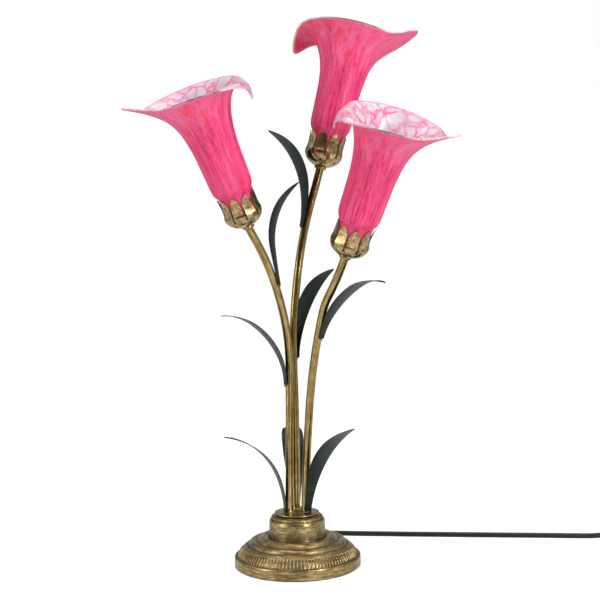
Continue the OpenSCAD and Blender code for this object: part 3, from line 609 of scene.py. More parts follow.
def coil_line(per_turn):
    """In along the table, half a turn of climb, out again on top."""
    inner = COIL_R - PITCH * TURNS
    points = []
    for step in range(int(per_turn * (2 * TURNS + 0.5)) + 1):
        k = step / per_turn
        climb = min(max(2 * (k - TURNS), 0), 1)
        if k < TURNS:
            r = COIL_R - PITCH * k
        else:
            r = inner - PITCH / 4 * math.sin(math.pi * climb) + PITCH * max(0, k - TURNS - 0.5)
        a = math.radians(90 - 360 * k)
        z = CORD_R + PITCH * climb * climb * (3 - 2 * climb)
        points.append((COIL_AT[0] + r * math.cos(a), COIL_AT[1] + r * math.sin(a), z))
    return points


def cord_curve(name, points):
    data = bpy.data.curves.new(name, "CURVE")
    data.dimensions = "3D"
    data.bevel_depth = CORD_R * MM
    data.bevel_resolution = 5
    data.use_fill_caps = True
    run = data.splines.new("POLY")
    run.points.add(len(points) - 1)
    for place, point in zip(run.points, points):
        place.co = (*(float(x) * MM for x in point), 1.0)
    data.materials.append(CORD)
    made = added(name, data)
    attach(made, "lamp")
    return made


def add_cords():
    """The cord to the switch, and the one from the switch through the coil to the plug."""
    per_stretch = 6
    per_turn = 36
    first_line = along(ROUTE_OUT, per_stretch * (len(ROUTE_OUT) - 1) + 1)
    middle = along(ROUTE_MIDDLE, 4 * per_stretch + 1)
    tail = along(ROUTE_TAIL, 5 * per_stretch + 1)
    second_line = np.vstack([middle, coil_line(per_turn)[1:], tail[1:]])
    first = cord_curve("power_cord_run", first_line)
    second = cord_curve("power_cord_end", second_line)
    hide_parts("power_cord")
    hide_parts("cord_middle", "cord_coil", "cord_tail")
    return (first, run_length(first_line)[-1]), (second, run_length(second_line)[-1])


# Stems

FEET = ((-7.5, 1.5), (-0.5, 14.0), (8.5, 1.5))
AZIMUTHS = (222.0, 2.0, -52.0)
# Lengths of each stem from the disc up, with the degrees that each of them bends
CHAINS = (
    ((8, -2), (136, 1), (51, 15), (92, 22.7), (7, -9.5), (3, 0)),
    ((8, 1), (131, -2), (114, 10), (66, 8), (27, -2.2), (3, 0)),
    ((8, 4), (91, 3), (103, 13), (20, 20), (44, -10.7), (3, 0)),
)
DISC_TOP = 53.5
SPACER_TOP = 52.3
BASE_TOP = 51.5
TUBE_R = 4.0
TUBE_WALL = 1.0
TUBE_REACH = 6.0


def walk(chain, s, start=(0.0, 0.0, 0.0)):
    """Distance out, height and tilt after s millimetres of a chain of arcs."""
    out, up, tilt = start
    for length, bend in chain:
        if s <= 0:
            break
        step = min(s, length)
        turn = bend * step / length
        middle = math.radians(tilt + turn / 2)
        half = math.radians(turn / 2)
        chord = step if turn == 0 else step * math.sin(half) / half
        out += chord * math.sin(middle)
        up += chord * math.cos(middle)
        tilt += turn
        s -= length
    return out, up, tilt


def chain_length(i):
    return sum(length for length, _ in CHAINS[i])


def stem_place(i, out, up):
    """The point of a stem's plane that lies some way out from its foot and up from the disc."""
    a = math.radians(AZIMUTHS[i])
    return np.array([FEET[i][0] + out * math.cos(a), FEET[i][1] + out * math.sin(a), DISC_TOP + up])


def stem_point(i, s):
    out, up, _ = walk((*CHAINS[i], (12, 0)), s)
    return stem_place(i, out, up)


def flower_place(i, spin=0.0):
    """A function that takes points in a flower's own frame to the lamp's."""
    out, up, tilt = walk(CHAINS[i], chain_length(i))
    turn = Matrix.Rotation(math.radians(AZIMUTHS[i]), 3, "Z") @ Matrix.Rotation(math.radians(tilt), 3, "Y")
    turn = np.array(turn @ Matrix.Rotation(math.radians(spin), 3, "Z"))
    foot = stem_place(i, out, up)
    return lambda points: np.asarray(points, float) @ turn.T + foot


def add_stem(i):
    columns = 28
    step = 3
    length = chain_length(i) + TUBE_REACH
    run = np.linspace(0, length, int(length / step))
    line = np.array([[*FEET[i], SPACER_TOP], *(stem_point(i, s) for s in run)])
    outside, grain_out = tube_rings(line, TUBE_R, columns)
    inside, grain_in = tube_rings(line, TUBE_R - TUBE_WALL, columns)
    rings = np.concatenate([outside, inside[::-1]])
    grain = np.concatenate([grain_out, grain_in[::-1]])
    ring_piece(f"{SIDES[i]}_stem_tube", rings, TUBE_BRASS, f"stem_{SIDES[i]}", marks={"grain": grain})


def braze_phases(seed):
    """Where the lumps of a drop of braze begin."""
    random.seed(seed)
    return [random.uniform(0, 6.28) for _ in range(3)]


def add_braze(name, centre, size, seed):
    """A drop of braze metal, lumpy as it set."""
    phases = braze_phases(seed)
    work = bmesh.new()
    bmesh.ops.create_icosphere(work, subdivisions=3, radius=1.0)
    points = []
    for vert in work.verts:
        x, y, z = vert.co
        swell = 1 + 0.09 * math.sin(4 * x + phases[0]) + 0.08 * math.sin(5 * y + phases[1])
        swell += 0.07 * math.sin(6 * z + 3 * x + phases[2])
        points.append(np.array([x * size[0], y * size[1], z * size[2]]) * swell + np.asarray(centre))
    faces = [[v.index for v in face.verts] for face in work.faces]
    work.free()
    piece(name, points, faces, TUBE_BRASS, marks={"grain": np.array(points) * 0.6})


# Leaves

# Each leaf's stem, place up it, azimuth and tilt, the bends of its three thirds, and its length
LEAVES = {
    "leaf_foot_left": (LEFT, 0, 198, 0, (22, 29, 31), 109),
    "leaf_foot_back": (CENTRE, 0, 94, 20, (5, 25, 70), 115),
    "leaf_foot_right": (RIGHT, 0, -52, 6, (21.5, 22, 24), 123),
    "leaf_low_left": (LEFT, 127, 201, -1.5, (31, 24, 39), 107),
    "leaf_low_centre": (CENTRE, 153, 44, -2.6, (22.6, 21, 33), 113),
    "leaf_low_right": (RIGHT, 176, -38.5, 17, (25, 19, 47), 102.5),
    "leaf_high_left": (LEFT, 229.5, -17, -11.6, (4.4, 29, 37), 110.5),
    "leaf_high_centre": (CENTRE, 286.6, 208, -15.4, (18, 29, 40), 111),
}
LEAF_W = 23.0
LEAF_T = 0.8
LEAF_GAP = 0.1
LEAF_CUP = 0.9
LEAF_WIDEST = 0.66
BRAZE_SIZE = (1.5, 1.5, 1.25)


def leaf_width(k):
    """Width of a leaf as a share of its greatest, at the share k of its length."""
    if k < LEAF_WIDEST:
        return 0.36 + 0.64 * math.sin(math.radians(90 * k / LEAF_WIDEST)) ** 1.3
    return max(0.04, max(math.cos(math.radians(90 * (k - LEAF_WIDEST) / 0.34)), 0) ** 0.6)


def heading(azimuth):
    """The level direction at an azimuth."""
    a = math.radians(azimuth)
    return np.array([math.cos(a), math.sin(a), 0])


def leaf_ring(data, k, shares):
    """Cross-section of a leaf at the share k of its length: the front, then the back."""
    stem, s, azimuth, tilt, bends, length = data
    out = heading(azimuth)
    wide = np.array([-out[1], out[0], 0])
    outward, up, turn = walk([(length / 3, bend) for bend in bends], k * length, (0, 0, tilt))
    root = stem_point(stem, s) + (TUBE_R + LEAF_GAP + LEAF_T / 2) * out
    lift = LEAF_T / 2 * math.sin(math.radians(abs(tilt)))
    centre = root + outward * out + np.array([0, 0, up + lift])
    turn = math.radians(turn)
    flat = math.cos(turn) * out - np.array([0, 0, math.sin(turn)])
    half = LEAF_W / 2 * leaf_width(k)
    cup = LEAF_CUP * math.sin(math.pi * min(k * 1.1, 1)) * (half / (LEAF_W / 2)) ** 2
    front = []
    back = []
    for t in shares:
        depth = LEAF_T / 2 * math.sqrt(max(0.0, 1 - abs(t) ** 9))
        middle = centre + t * half * wide - flat * cup * (t * t - 0.3)
        front.append(middle + depth * flat)
        back.append(middle - depth * flat)
    return front + back[::-1]


def add_leaf(name, data):
    shares = np.sin(np.linspace(-math.pi / 2, math.pi / 2, 15))
    rows = 1 - (1 - np.linspace(0, 1, 52)) ** 1.15
    rings = np.array([leaf_ring(data, k, shares) for k in rows])
    columns = rings.shape[1]
    faces = grid_faces(len(rings), columns)
    top = len(shares)
    for start in (0, (len(rings) - 1) * columns):
        for i in range(top - 1):
            faces.append((start + i, start + i + 1, start + columns - 2 - i, start + columns - 1 - i))
    round_shares = np.concatenate([shares, shares[::-1]])
    grain = np.array([[(t * LEAF_W / 2, k * data[5], 0) for t in round_shares] for k in rows])
    # Nearness to the leaf's border, for the painted highlight along its edges.
    edge = np.tile(np.abs(round_shares) ** 22, (len(rows), 1))
    marks = {"grain": grain, "edge": edge}
    piece(f"{name}_blade", rings, faces, LEAF, name, marks=marks, crease=60, weld=0.002)


def add_leaf_braze(name, data, seed):
    """The drop that holds a leaf's root to its stem."""
    stem, s, azimuth, _, _, _ = data
    at = stem_point(stem, s) + (TUBE_R + 0.5) * heading(azimuth) + np.array([0, 0, -0.9])
    add_braze(f"{name}_braze", at, BRAZE_SIZE, seed)


# Flowers: cups, holders, bulbs

CUP_R = 19.0
CUP_T = 0.8
BOWL_H = 13.0
FLAT_R = 7.0
PETALS = 9
SLIT_HALF = 0.8
SLIT_FOOT = 9.0
SLIT_TOP = 18.0
ARCH_H = 15.3
ARCH_POWER = 3.4
VENT_R = 1.5
VENTS = 6
FIRST_VENT = 10.0
VENT_TILT = 118.0
VENT_REACH = (11.0, 19.0)
PETAL_COLUMNS = 11
FLAT_FROM = 13.2
FLAT_OVER = 1.8
FLATNESS = 0.9
CURL_FROM = 14.0
CURL_OVER = 19.0
TIP_FROM = 31.5
# Height and width of each fold in the sheet, where patina and painted shade darken the cup.
SHEET_FOLDS = ((13.6, 0.9), (0.2, 0.8))
CUP_SPINS = (-2.0, 12.5, 5.5)
PETAL_GAP = (CUP_R - 0.4) * math.tan(math.pi / PETALS) * 0.95
PETAL_LINE = ((0, 0), (0.3, 0.9), (-0.1, 2), (-0.8, 6), (-1, 12), (-0.9, 16.4), (-0.4, 20))
# How far each petal's tip leans out
CURLS = (
    (0.3, 0.2, 0.5, 1.6, 0.6, 0.3, 0.9, 2.4, 1.0),
    (1.6, 0.9, 1.8, 0.4, 0.8, 0.2, 0.5, 0.4, 1.9),
    (0.4, 1.6, 0.8, 0.5, 1.0, 0.6, 0.3, 0.5, 1.5),
)
CAP_R = 5.85
THREAD_PITCH = 2.6


def bowl_radius(height):
    depth = BOWL_H / math.sqrt(1 - (FLAT_R / CUP_R) ** 2)
    return CUP_R * math.sqrt(max(0.0, 1 - ((BOWL_H - height) / depth) ** 2))


def petal_radius(height):
    rows = np.array(PETAL_LINE)
    k = np.interp(height - BOWL_H, rows[:, 1], np.linspace(0, 1, len(rows)))
    return CUP_R + float(spline(rows, np.array([k]))[0][0])


def slit_half(height):
    """Half of the gap beside a petal."""
    if height <= SLIT_FOOT:
        return 0.0
    if height <= SLIT_TOP:
        return SLIT_HALF * math.sqrt(1 - (1 - min(1.0, (height - SLIT_FOOT) / SLIT_HALF)) ** 2)
    return SLIT_HALF + (PETAL_GAP - SLIT_HALF) * ((height - SLIT_TOP) / ARCH_H) ** ARCH_POWER


def cup_heights():
    low = list(np.linspace(0, SLIT_FOOT, 12)[1:])
    slit = [9.05, 9.15, 9.35, 9.65, 10.0, 10.6, 11.4, 12.2, 13.0, 13.4, 13.9, 14.5, 15.2, 16.0, 17.0, 18.0]
    petal = list(np.linspace(19.0, 30.4, 14))
    tip = [31.2, 31.9, 32.4, 32.75, 32.95]
    return low + slit + petal + tip


def add_cup(i):
    """A stamped cup: a round bowl whose rim is slit into flat petals, each bent a little its own way."""
    side = SIDES[i]
    across = np.linspace(-1, 1, PETAL_COLUMNS)
    points = []
    grain = []
    recess = []
    faces = []
    floor_radii = [TUBE_R + 0.05, 5.0, 6.2, FLAT_R]
    rows = [(r, 0.0) for r in floor_radii] + [(None, h) for h in cup_heights()]
    half = math.pi / PETALS
    for petal in range(PETALS):
        start = len(points)
        middle = math.radians(360 / PETALS * petal)
        for r, h in rows:
            if r is None:
                r = bowl_radius(h) if h <= BOWL_H else petal_radius(h)
            flat = np.clip((h - FLAT_FROM) / FLAT_OVER, 0, 1) * FLATNESS
            gap = slit_half(h)
            lean = CURLS[i][petal] * max(0.0, (h - CURL_FROM) / CURL_OVER) ** 2
            tip_back = 0.25 * max(0.0, h - TIP_FROM)
            fold = sum(math.exp(-((h - at) / wide) ** 2) for at, wide in SHEET_FOLDS)
            for t in across:
                a = t * (half - math.asin(min(1, gap / r)))
                x = r * math.cos(a)
                y = r * math.sin(a)
                x += flat * (r * 0.955 - x) + lean
                x += tip_back * abs(t) * 0.5
                points.append((x * math.cos(middle) - y * math.sin(middle),
                               x * math.sin(middle) + y * math.cos(middle), h))
                grain.append((a * 9, 0.4 * h, petal * 7))
                # Recess: patina and painted shade along the folds and at the edges of the slits.
                recess.append(0.2 * fold + 0.5 * (gap > 0) * abs(t) ** 14)
        faces += [tuple(start + k for k in face) for face in grid_faces(len(rows), PETAL_COLUMNS, False)]
    place = flower_place(i, CUP_SPINS[i])
    inner = place([[0, 0, BOWL_H]])[0]
    cup = piece(f"{side}_petal_cup", place(points), faces, CUP_BRASS, f"cup_{side}",
                marks={"grain": grain, "recess": recess}, crease=50, weld=0.004)
    faced_out(cup, inner)
    thick = cup.modifiers.new("sheet", "SOLIDIFY")
    thick.thickness = CUP_T * MM
    thick.offset = -1
    thick.use_even_offset = True
    faced_out(settled(cup), inner)
    cut_with(cup, *(place(vent_points(k)) for k in range(VENTS)))
    bevelled(cup, 0.16, 50, 60)


def vent_points(k):
    """Two rings round the place of a vent hole low in the bowl, inside its sheet and outside it."""
    turn = Matrix.Rotation(math.radians(FIRST_VENT + 360 * k / VENTS), 3, "Z")
    turn = turn @ Matrix.Rotation(math.radians(VENT_TILT), 3, "Y")
    rings = [(VENT_R * math.cos(a), VENT_R * math.sin(a), z) for z in VENT_REACH for a in circle(24)]
    return np.array(rings) @ np.array(turn).T + np.array([0, 0, BOWL_H])


def add_collar(i):
    """The collar under a cup, on its stem."""
    profile = [(4.05, -3), (5.4, -3), (6, -2.4), (6, 0), (4.05, 0)]
    turned(f"{SIDES[i]}_stem_collar", profile, TUBE_BRASS, f"collar_{SIDES[i]}", 48, 0.35, flower_place(i))


def add_holder(i):
    """The lamp holder, with grip rings round its sleeve."""
    rings = []
    for z in (12, 15, 18, 21, 24):
        rings += [(9.8, z - 0.6), (9.5, z - 0.3), (9.5, z + 0.3), (9.8, z + 0.6)]
    profile = [(4.05, 3.4), (7.8, 3.4), (9.8, 5.4), *rings, (9.8, 33), (8.8, 34), (6.53, 34), (6.53, 12),
               (1.35, 12), (1.35, 6.1), (4.05, 6.1)]
    turned(f"{SIDES[i]}_lamp_holder", profile, HOLDER, f"holder_{SIDES[i]}", 56, 0.35, flower_place(i))


def add_bulb(i):
    """A candle bulb: a screw cap with its thread rolled in, and an opal envelope."""
    side = SIDES[i]
    body = f"{side}_bulb"
    place = flower_place(i)
    columns = 48
    angle = circle(columns)
    rows = [(AXIS_R, 13.6), (1.9, 13.6), (2.2, 13.9), (4.6, 16.3), (5.1, 16.6), (5.3, 17.2)]
    for z in np.arange(17.6, 34.01, 0.24):
        fade = min(1.0, (z - 17.4) / 1.2, (34.2 - z) / 1.0)
        wave = 0.5 + 0.5 * np.sin(2 * math.pi * z / THREAD_PITCH - angle)
        rows.append((CAP_R - 0.5 * fade * (1 - wave), z))
    rows += [(CAP_R, 34.4), (CAP_R, 35.8), (5.6, 36), (AXIS_R, 36)]
    radii = np.array([np.broadcast_to(r, columns) for r, _ in rows])
    points = round_rings(radii, np.array([[z] for _, z in rows]), columns)
    faces = grid_faces(len(rows), columns)
    parts = np.repeat([1 if z < 15 else 0 for _, z in rows[:-1]], columns)
    piece(f"{side}_bulb_screw", place(points), faces, [NICKEL, BRIGHT], f"bulb_cap_{side}", body=body,
          marks={"grain": points * 0.4}, parts=parts, weld=0.1)
    shape = [(5.6, 0), (6.5, 3), (8.6, 6.5), (10, 12)]
    shape += [(10 * math.cos(math.radians(a)), 45 + 14 * math.sin(math.radians(a))) for a in range(0, 90, 15)]
    outline = along([*shape, (AXIS_R, 59)], 60) + np.array([0, 36])
    points, grain = turned_points(outline, columns)
    piece(f"{side}_bulb_envelope", place(points), grid_faces(60, columns) + [tuple(range(columns))], OPAL,
          f"bulb_glass_{side}", body=body, marks={"grain": grain}, weld=0.05)


# Shades

SPINS = (-15.0, -21.0, 18.0)
TIP_REACHES = (0.92, 0.84, 0.88)
LIP_REACHES = (0.8, 1.0, 0.72)
LIP_LIFT = 20.0
LIP_TURNS = (-25.0, 4.0, 28.0)
THROAT_LINE = (
    (16.8, 8.28), (16.5, 20), (16.7, 32.5), (19.2, 37.5), (20.6, 43.5), (21.2, 62), (21.9, 80), (23.5, 94),
)
SIDE_LINE = ((0, 0), (3.3, 9), (7.6, 18.1), (12.4, 26.4), (18.3, 33.6), (23.2, 38.7), (26.9, 42.7))
TIP_LINE = ((0, 0), (2.3, 10.7), (7.8, 23), (15.8, 32.7), (26.6, 41.4), (37.5, 48.4), (50, 55))
ROLL_LINE = ((0, 0), (3.2, 11.4), (7.6, 20.8), (13.8, 29.4), (22.7, 33.4), (32.3, 28.2), (31.4, 13.5))
WING_LINE = ((0, 0), (2.5, 10.9), (6.3, 21.3), (11.5, 30.5), (18.3, 36.7), (26.9, 40.4), (33, 37.5))
WING_TURN = 38.0
WING_SPREAD = 34.0
GLASS_T = 2.2
RIM_T = 1.6
EDGE_STEPS = 5
GLASS_COLUMNS = 168
COLUMN_SHIFT = 10.0
GLASS_RUN = (0.0, 86.0, 142.0)
MARK_R = 20.0


def between_turns(a, b):
    return np.abs((a - b + 540) % 360 - 180)


def flare_shares(i, a, u):
    """How much each line counts at the angle a and the share u of the flare: side, tip, roll, wing."""
    lip = 180 + LIP_TURNS[i]
    tip = ((1 + np.cos(np.radians(a))) / 2) ** (2 + 50 * u ** 2.5)
    roll = ((1 + np.cos(np.radians(a - lip))) / 2) ** (3 + 12 * u)
    near = np.minimum(between_turns(a, lip - WING_TURN), between_turns(a, lip + WING_TURN)) / WING_SPREAD
    wing = np.exp(-near * near) * (1 - roll)
    side = np.maximum(0, 1 - tip - roll - wing)
    total = side + tip + roll + wing
    return side / total, tip / total, roll / total, wing / total


def shade_point(i, a, v):
    """Points of the outside of the glass: angles a, and v from 0 to 1 up the throat, 1 to 2 up the flare."""
    u = np.clip(v - 1, 0, 1)
    side, tip, roll, wing = flare_shares(i, a, u)
    low = spline(THROAT_LINE, np.clip(v, 0, 1))
    tip_rise = spline(TIP_LINE, u) * np.array([TIP_REACHES[i], 1.0])
    lip_rise = spline(ROLL_LINE, u) * np.array([LIP_REACHES[i], 1.0])
    lip_rise[..., 1] += LIP_LIFT * (1 - LIP_REACHES[i]) * u ** 4
    rise = side[..., None] * spline(SIDE_LINE, u) + tip[..., None] * tip_rise
    rise = rise + roll[..., None] * lip_rise + wing[..., None] * spline(WING_LINE, u)
    rz = np.where((v <= 1)[..., None], low, np.array(THROAT_LINE[-1]) + rise)
    angle = np.radians(a)
    return np.stack([rz[..., 0] * np.cos(angle), rz[..., 0] * np.sin(angle), rz[..., 1]], axis=-1)


def shade_normal(i, a, v):
    """Directions square to the outside of the glass."""
    step = 0.02
    across = shade_point(i, a + 1, v) - shade_point(i, a - 1, v)
    up = shade_point(i, a, np.minimum(v + step, 2)) - shade_point(i, a, np.maximum(v - step, 0))
    out = np.cross(across, up)
    return out / np.linalg.norm(out, axis=-1)[..., None]


def rounded_edge(lower, upper, bulge):
    """Rings of a rounded edge between two rings."""
    middle = (lower + upper) / 2
    rings = []
    for k in range(1, EDGE_STEPS):
        turn = math.pi * k / EDGE_STEPS
        rings.append(middle + (lower - middle) * math.cos(turn) + bulge * math.sin(turn))
    return np.array(rings)


def add_shade(i):
    """The blown glass: its outside, a rounded rim, its inside and a ground foot, as one closed skin."""
    side = SIDES[i]
    columns = GLASS_COLUMNS
    angles = np.linspace(0, 360, columns, endpoint=False)
    angles = angles - COLUMN_SHIFT * np.sin(np.radians(2 * angles))
    outer_v = np.concatenate([np.linspace(0, 1, 27)[:-1], 1 + np.linspace(0, 1, 52)])
    inner_v = np.concatenate([1 + np.linspace(0, 1, 40)[::-1], np.linspace(0, 1, 19)[:-1][::-1]])
    a_out, v_out = np.meshgrid(angles, outer_v)
    a_in, v_in = np.meshgrid(angles, inner_v)
    outside = shade_point(i, a_out.T, v_out.T).transpose(1, 0, 2)
    wall = GLASS_T + (RIM_T - GLASS_T) * np.clip(v_in - 1, 0, 1)
    inside = shade_point(i, a_in, v_in) - wall[..., None] * shade_normal(i, a_in, v_in)
    upward = outside[-1] - outside[-2]
    upward = upward / np.linalg.norm(upward, axis=1)[:, None]
    gap = np.linalg.norm(inside[0] - outside[-1], axis=1)[:, None]
    rim = rounded_edge(outside[-1], inside[0], upward * gap * 0.5)
    foot = rounded_edge(inside[-1], outside[0], np.tile([0.0, 0.0, -0.12], (columns, 1)))
    rings = np.concatenate([outside, rim, inside, foot])
    v_all = np.concatenate([v_out, np.full((len(rim), columns), 2.0), v_in, np.full((len(foot), columns), 0.0)])
    edge = np.full(EDGE_STEPS, 2)
    parts = np.concatenate([np.zeros(len(outer_v) - 1), edge, np.ones(len(inner_v) - 1), edge])
    radians = np.radians(angles)
    height = np.interp(v_all, [0, 1, 2], GLASS_RUN)
    place = flower_place(i, SPINS[i])
    ahead = place([[1, 0, 0], [0, 1, 0], [0, 0, 0]])[:, 1]
    # How far each column of the glass faces −Y, for the painted shade along the rim's front.
    front = -np.cos(radians) * (ahead[0] - ahead[2]) - np.sin(radians) * (ahead[1] - ahead[2])
    lip = flare_shares(i, angles, np.clip(v_all - 1, 0, 1))[2]
    c = np.broadcast_to(MARK_R * np.cos(radians), v_all.shape)
    s = np.broadcast_to(MARK_R * np.sin(radians), v_all.shape)
    front = np.broadcast_to(front, v_all.shape)
    marks = {"straight": np.stack([c, s, height], axis=2), "flare": v_all - 1, "lip": lip, "front": front}
    ring_piece(f"{side}_glass_shade", place(rings), [GLASS_OUT, GLASS_IN, GLASS_RIM], f"throat_{side}",
               f"shade_{side}", body=f"{side}_shade", marks=marks, parts=np.repeat(parts, columns), crease=180)


# Base

SHELL_T = 1.2
FLUTES = 104
FLUTE_DEPTH = 1.25
RIM_LINE = ((63, 1.2), (63, 10), (62.6, 11), (61.5, 11.4), (60.5, 11.4))
COLUMN_LINE = (
    (28, 29.2), (28, 44), (27.6, 46), (26.3, 48), (25.6, 49.6), (24.4, 50.6), (22.8, 51.3), (21.5, 51.5),
    (16.5, 51.5),
)
# Radius, height and width of each groove, where patina and painted shade darken the shell.
GROOVES = (
    (61, 11.2, 1.0), (49.8, 22.2, 1.3), (41, 25.7, 1.2), (28.2, 28.8, 1.5), (26.5, 47.6, 1.0),
    (24.8, 50.4, 0.8),
)


def base_outline():
    """Outline of the spun shell from the foot up, with the share of flute at each of its points."""
    rim = softened(RIM_LINE, 0.8)
    band = bend_line((60.5, 11.4), (57.5, 18.5), (50, 22.5), 26)
    k = np.linspace(0, 1, 27)
    flute = np.clip(np.minimum((k - 0.05) / 0.07, (0.66 - k) / 0.08), 0, 1)
    flute = np.sqrt(1 - (1 - flute) ** 2)
    groove = bend_line((49.5, 22), (47.35, 28.1), (41, 25.8), 12)
    step = bend_line((41, 25.8), (36.35, 33.45), (28.3, 28.5), 14)[1:]
    column = softened(COLUMN_LINE, 0.7)
    outline = np.vstack([rim, band, groove, step, column])
    marks = np.concatenate([np.zeros(len(rim)), flute, np.zeros(len(groove) + len(step) + len(column))])
    return outline, marks


def groove_marks(outline):
    """How far each point of an outline lies in a groove between two swells, darkened there by patina and
    painted shade.
    """
    recess = np.zeros(len(outline))
    for r, z, wide in GROOVES:
        near = np.hypot(outline[:, 0] - r, outline[:, 1] - z) / wide
        recess = np.maximum(recess, 0.8 * np.exp(-near * near))
    return recess


def add_base():
    """The spun shell: a fluted band over the rim, two rolled rings and a short column."""
    per_flute = 8
    columns = FLUTES * per_flute
    outline, flute = base_outline()
    tangent = np.gradient(outline, axis=0)
    tangent /= np.linalg.norm(tangent, axis=1)[:, None]
    normal = np.stack([tangent[:, 1], -tangent[:, 0]], axis=1)
    wave = (1 - np.cos(circle(columns) * FLUTES)) / 2
    slot = np.clip((wave - 0.3) / 0.45, 0, 1)
    slot = slot * slot * (3 - 2 * slot)
    depth = FLUTE_DEPTH * flute[:, None] * slot[None]
    r = outline[:, :1] - depth * normal[:, :1]
    z = outline[:, 1:] - depth * normal[:, 1:]
    inner = (outline - SHELL_T * normal)[::-3]
    rings = np.concatenate([round_rings(r, z, columns), round_rings(inner[:, :1], inner[:, 1:], columns)])
    run = np.concatenate([run_length(outline), 200 + run_length(inner)])
    run = np.repeat(run[:, None], columns, 1)
    grain = grain_marks(5, columns, run)
    # Recess: patina and painted shade in the grooves and down the flute slots.
    recess = np.maximum(groove_marks(outline)[:, None], flute[:, None] * slot[None])
    recess = np.concatenate([recess, np.zeros((len(inner), columns))])
    marks = {"grain": grain, "recess": recess}
    ring_piece("spun_base_shell", rings, BRASS, "base_shell", marks=marks, crease=70)


def add_small_turned():
    """The spacer ring, the felt pad, and the disc that the stems stand on."""
    spacer = [(17, BASE_TOP), (20.5, BASE_TOP), (20.5, SPACER_TOP), (17, SPACER_TOP)]
    pad = [(AXIS_R, 0), (61.4, 0), (61.4, 2), (AXIS_R, 2)]
    disc = [(AXIS_R, SPACER_TOP), (22.4, SPACER_TOP), (22.4, DISC_TOP), (AXIS_R, DISC_TOP)]
    turned("spacer_washer", spacer, BLACK, "spacer_ring", 96, 0.15)
    turned("felt_foot_pad", pad, FELT, "base_pad", 128, 0.3)
    turned("stem_mount_disc", disc, BRASS, "stem_disc", 128, 0.35)


FOOT_BRAZE_LINE = (
    (3.9, 53.45), (5.6, 53.48), (5.45, 53.8), (4.9, 54.1), (4.45, 54.6), (4.15, 55.4), (3.95, 55.5),
)


def add_foot_braze(i):
    """A ring of braze round a stem's foot."""
    x, y = FEET[i]
    columns = 48
    angle = circle(columns)
    phases = braze_phases(40 + i)
    wobble = 0.35 * np.sin(2 * angle + phases[0]) + 0.25 * np.sin(3 * angle + phases[1])
    wobble += 0.15 * np.sin(7 * angle + phases[2])
    rings = []
    for r, z in FOOT_BRAZE_LINE:
        radius = r + wobble * ((r - 3.9) / 1.7)
        rings.append(np.stack([x + radius * np.cos(angle), y + radius * np.sin(angle), np.full(columns, z)], 1))
    ring_piece(f"{SIDES[i]}_foot_braze", np.array(rings), TUBE_BRASS)


# Strain relief, switch and plug

SWITCH_LONG = 62.0
SWITCH_WIDE = 24.0
SCREW_HOLE_R = 2.85
LID_TOP = 16.0
RELIEF_Z = 6.1
RELIEF_BORE_R = 2.85
ROCKER_TILT = 9.0
ROCKER_PIN_Z = 12.0
ROCKER_LINE = (
    (-3, -2.6), (3, -2.6), (10, 0.5), (10, 4.4), (8.6, 4.6), (5, 3.75), (0, 3.2), (-5, 3.75), (-8.6, 4.6),
    (-10, 4.4), (-10, 0.5),
)
PLUG_END = 410.0
PLUG_Y = -8.0
PLUG_Z = 8.0
PLUG_SECTIONS = (
    (378, 24.4, 14.4, 4.4), (378.3, 25.3, 15.3, 4.8), (379.2, 26, 16, 5), (384, 26, 16, 5),
    (386.5, 25.2, 15.8, 5), (389, 22.6, 15.2, 5), (392, 21.0, 14.6, 5), (396, 20.6, 14.2, 5),
    (400, 20.2, 13.8, 5), (404, 18.4, 13.2, 5), (407.5, 15.0, 12.2, 5), (409.5, 11.8, 11.0, 4.8),
    (410, 10.4, 10.2, 4.6),
)
BLADE_LINE = ((386, -3.175), (386, 3.175), (363.2, 3.175), (361.5, 1.9), (361.5, -1.9), (363.2, -3.175))
BLADE_PITCH = 12.7
BLADE_HOLE_X = 366.5
BLADE_HOLE_R = 1.6


def ring_sweep(name, stations, axis, at, *nodes, slot=None):
    """A hollow piece of the cord's plastic along an axis, from stations of distance and radius."""
    columns = 40
    outline = np.asarray(stations, float)
    run = np.repeat(outline[:, :1], columns, 1)
    c = outline[:, 1:] * np.cos(circle(columns))
    s = outline[:, 1:] * np.sin(circle(columns))
    stack = [c, run, s] if axis == "y" else [run, c, s]
    return ring_piece(name, np.stack(stack, axis=2) + np.asarray(at, float), CORD, *nodes, slot=slot)


def add_relief():
    """The tapered strain relief at the back of the foot, with grooves that let it bend."""
    outer = [(61.2, 3.95), (63.1, 3.95), (63.4, 4.5), (64.6, 4.5)]
    y = 65.4
    while y < 83.5:
        r = 4.5 - 1.15 * (y - 63.1) / 22.9
        outer += [(y, r), (y + 0.25, r - 0.55), (y + 0.85, r - 0.55), (y + 1.1, r), (y + 2.2, r - 0.06)]
        y += 2.6
    outer += [(84.6, 3.42), (85.6, 3.3), (86, 3.05)]
    outer += [(86, RELIEF_BORE_R), (61.2, RELIEF_BORE_R)]
    return ring_sweep("cord_strain_relief", outer, "y", (0, 0, RELIEF_Z), "cord_relief", slot="switch_plastic")


def rounded_outline(length, width, radius, per_corner=10):
    """A flat outline with round corners, anticlockwise."""
    points = []
    for corner, (x, y) in enumerate(((1, 1), (-1, 1), (-1, -1), (1, -1))):
        for k in range(per_corner + 1):
            a = math.radians(90 * corner + 90 * k / per_corner)
            across = x * (length / 2 - radius) + radius * math.cos(a)
            points.append((across, y * (width / 2 - radius) + radius * math.sin(a)))
    return np.array(points)


def lofted(name, rings, finish, *nodes, body="lamp", crease=50):
    """A closed piece through rings of points."""
    faces = capped_faces(len(rings), len(rings[0]))
    return piece(name, rings, faces, finish, *nodes, body=body, crease=crease)


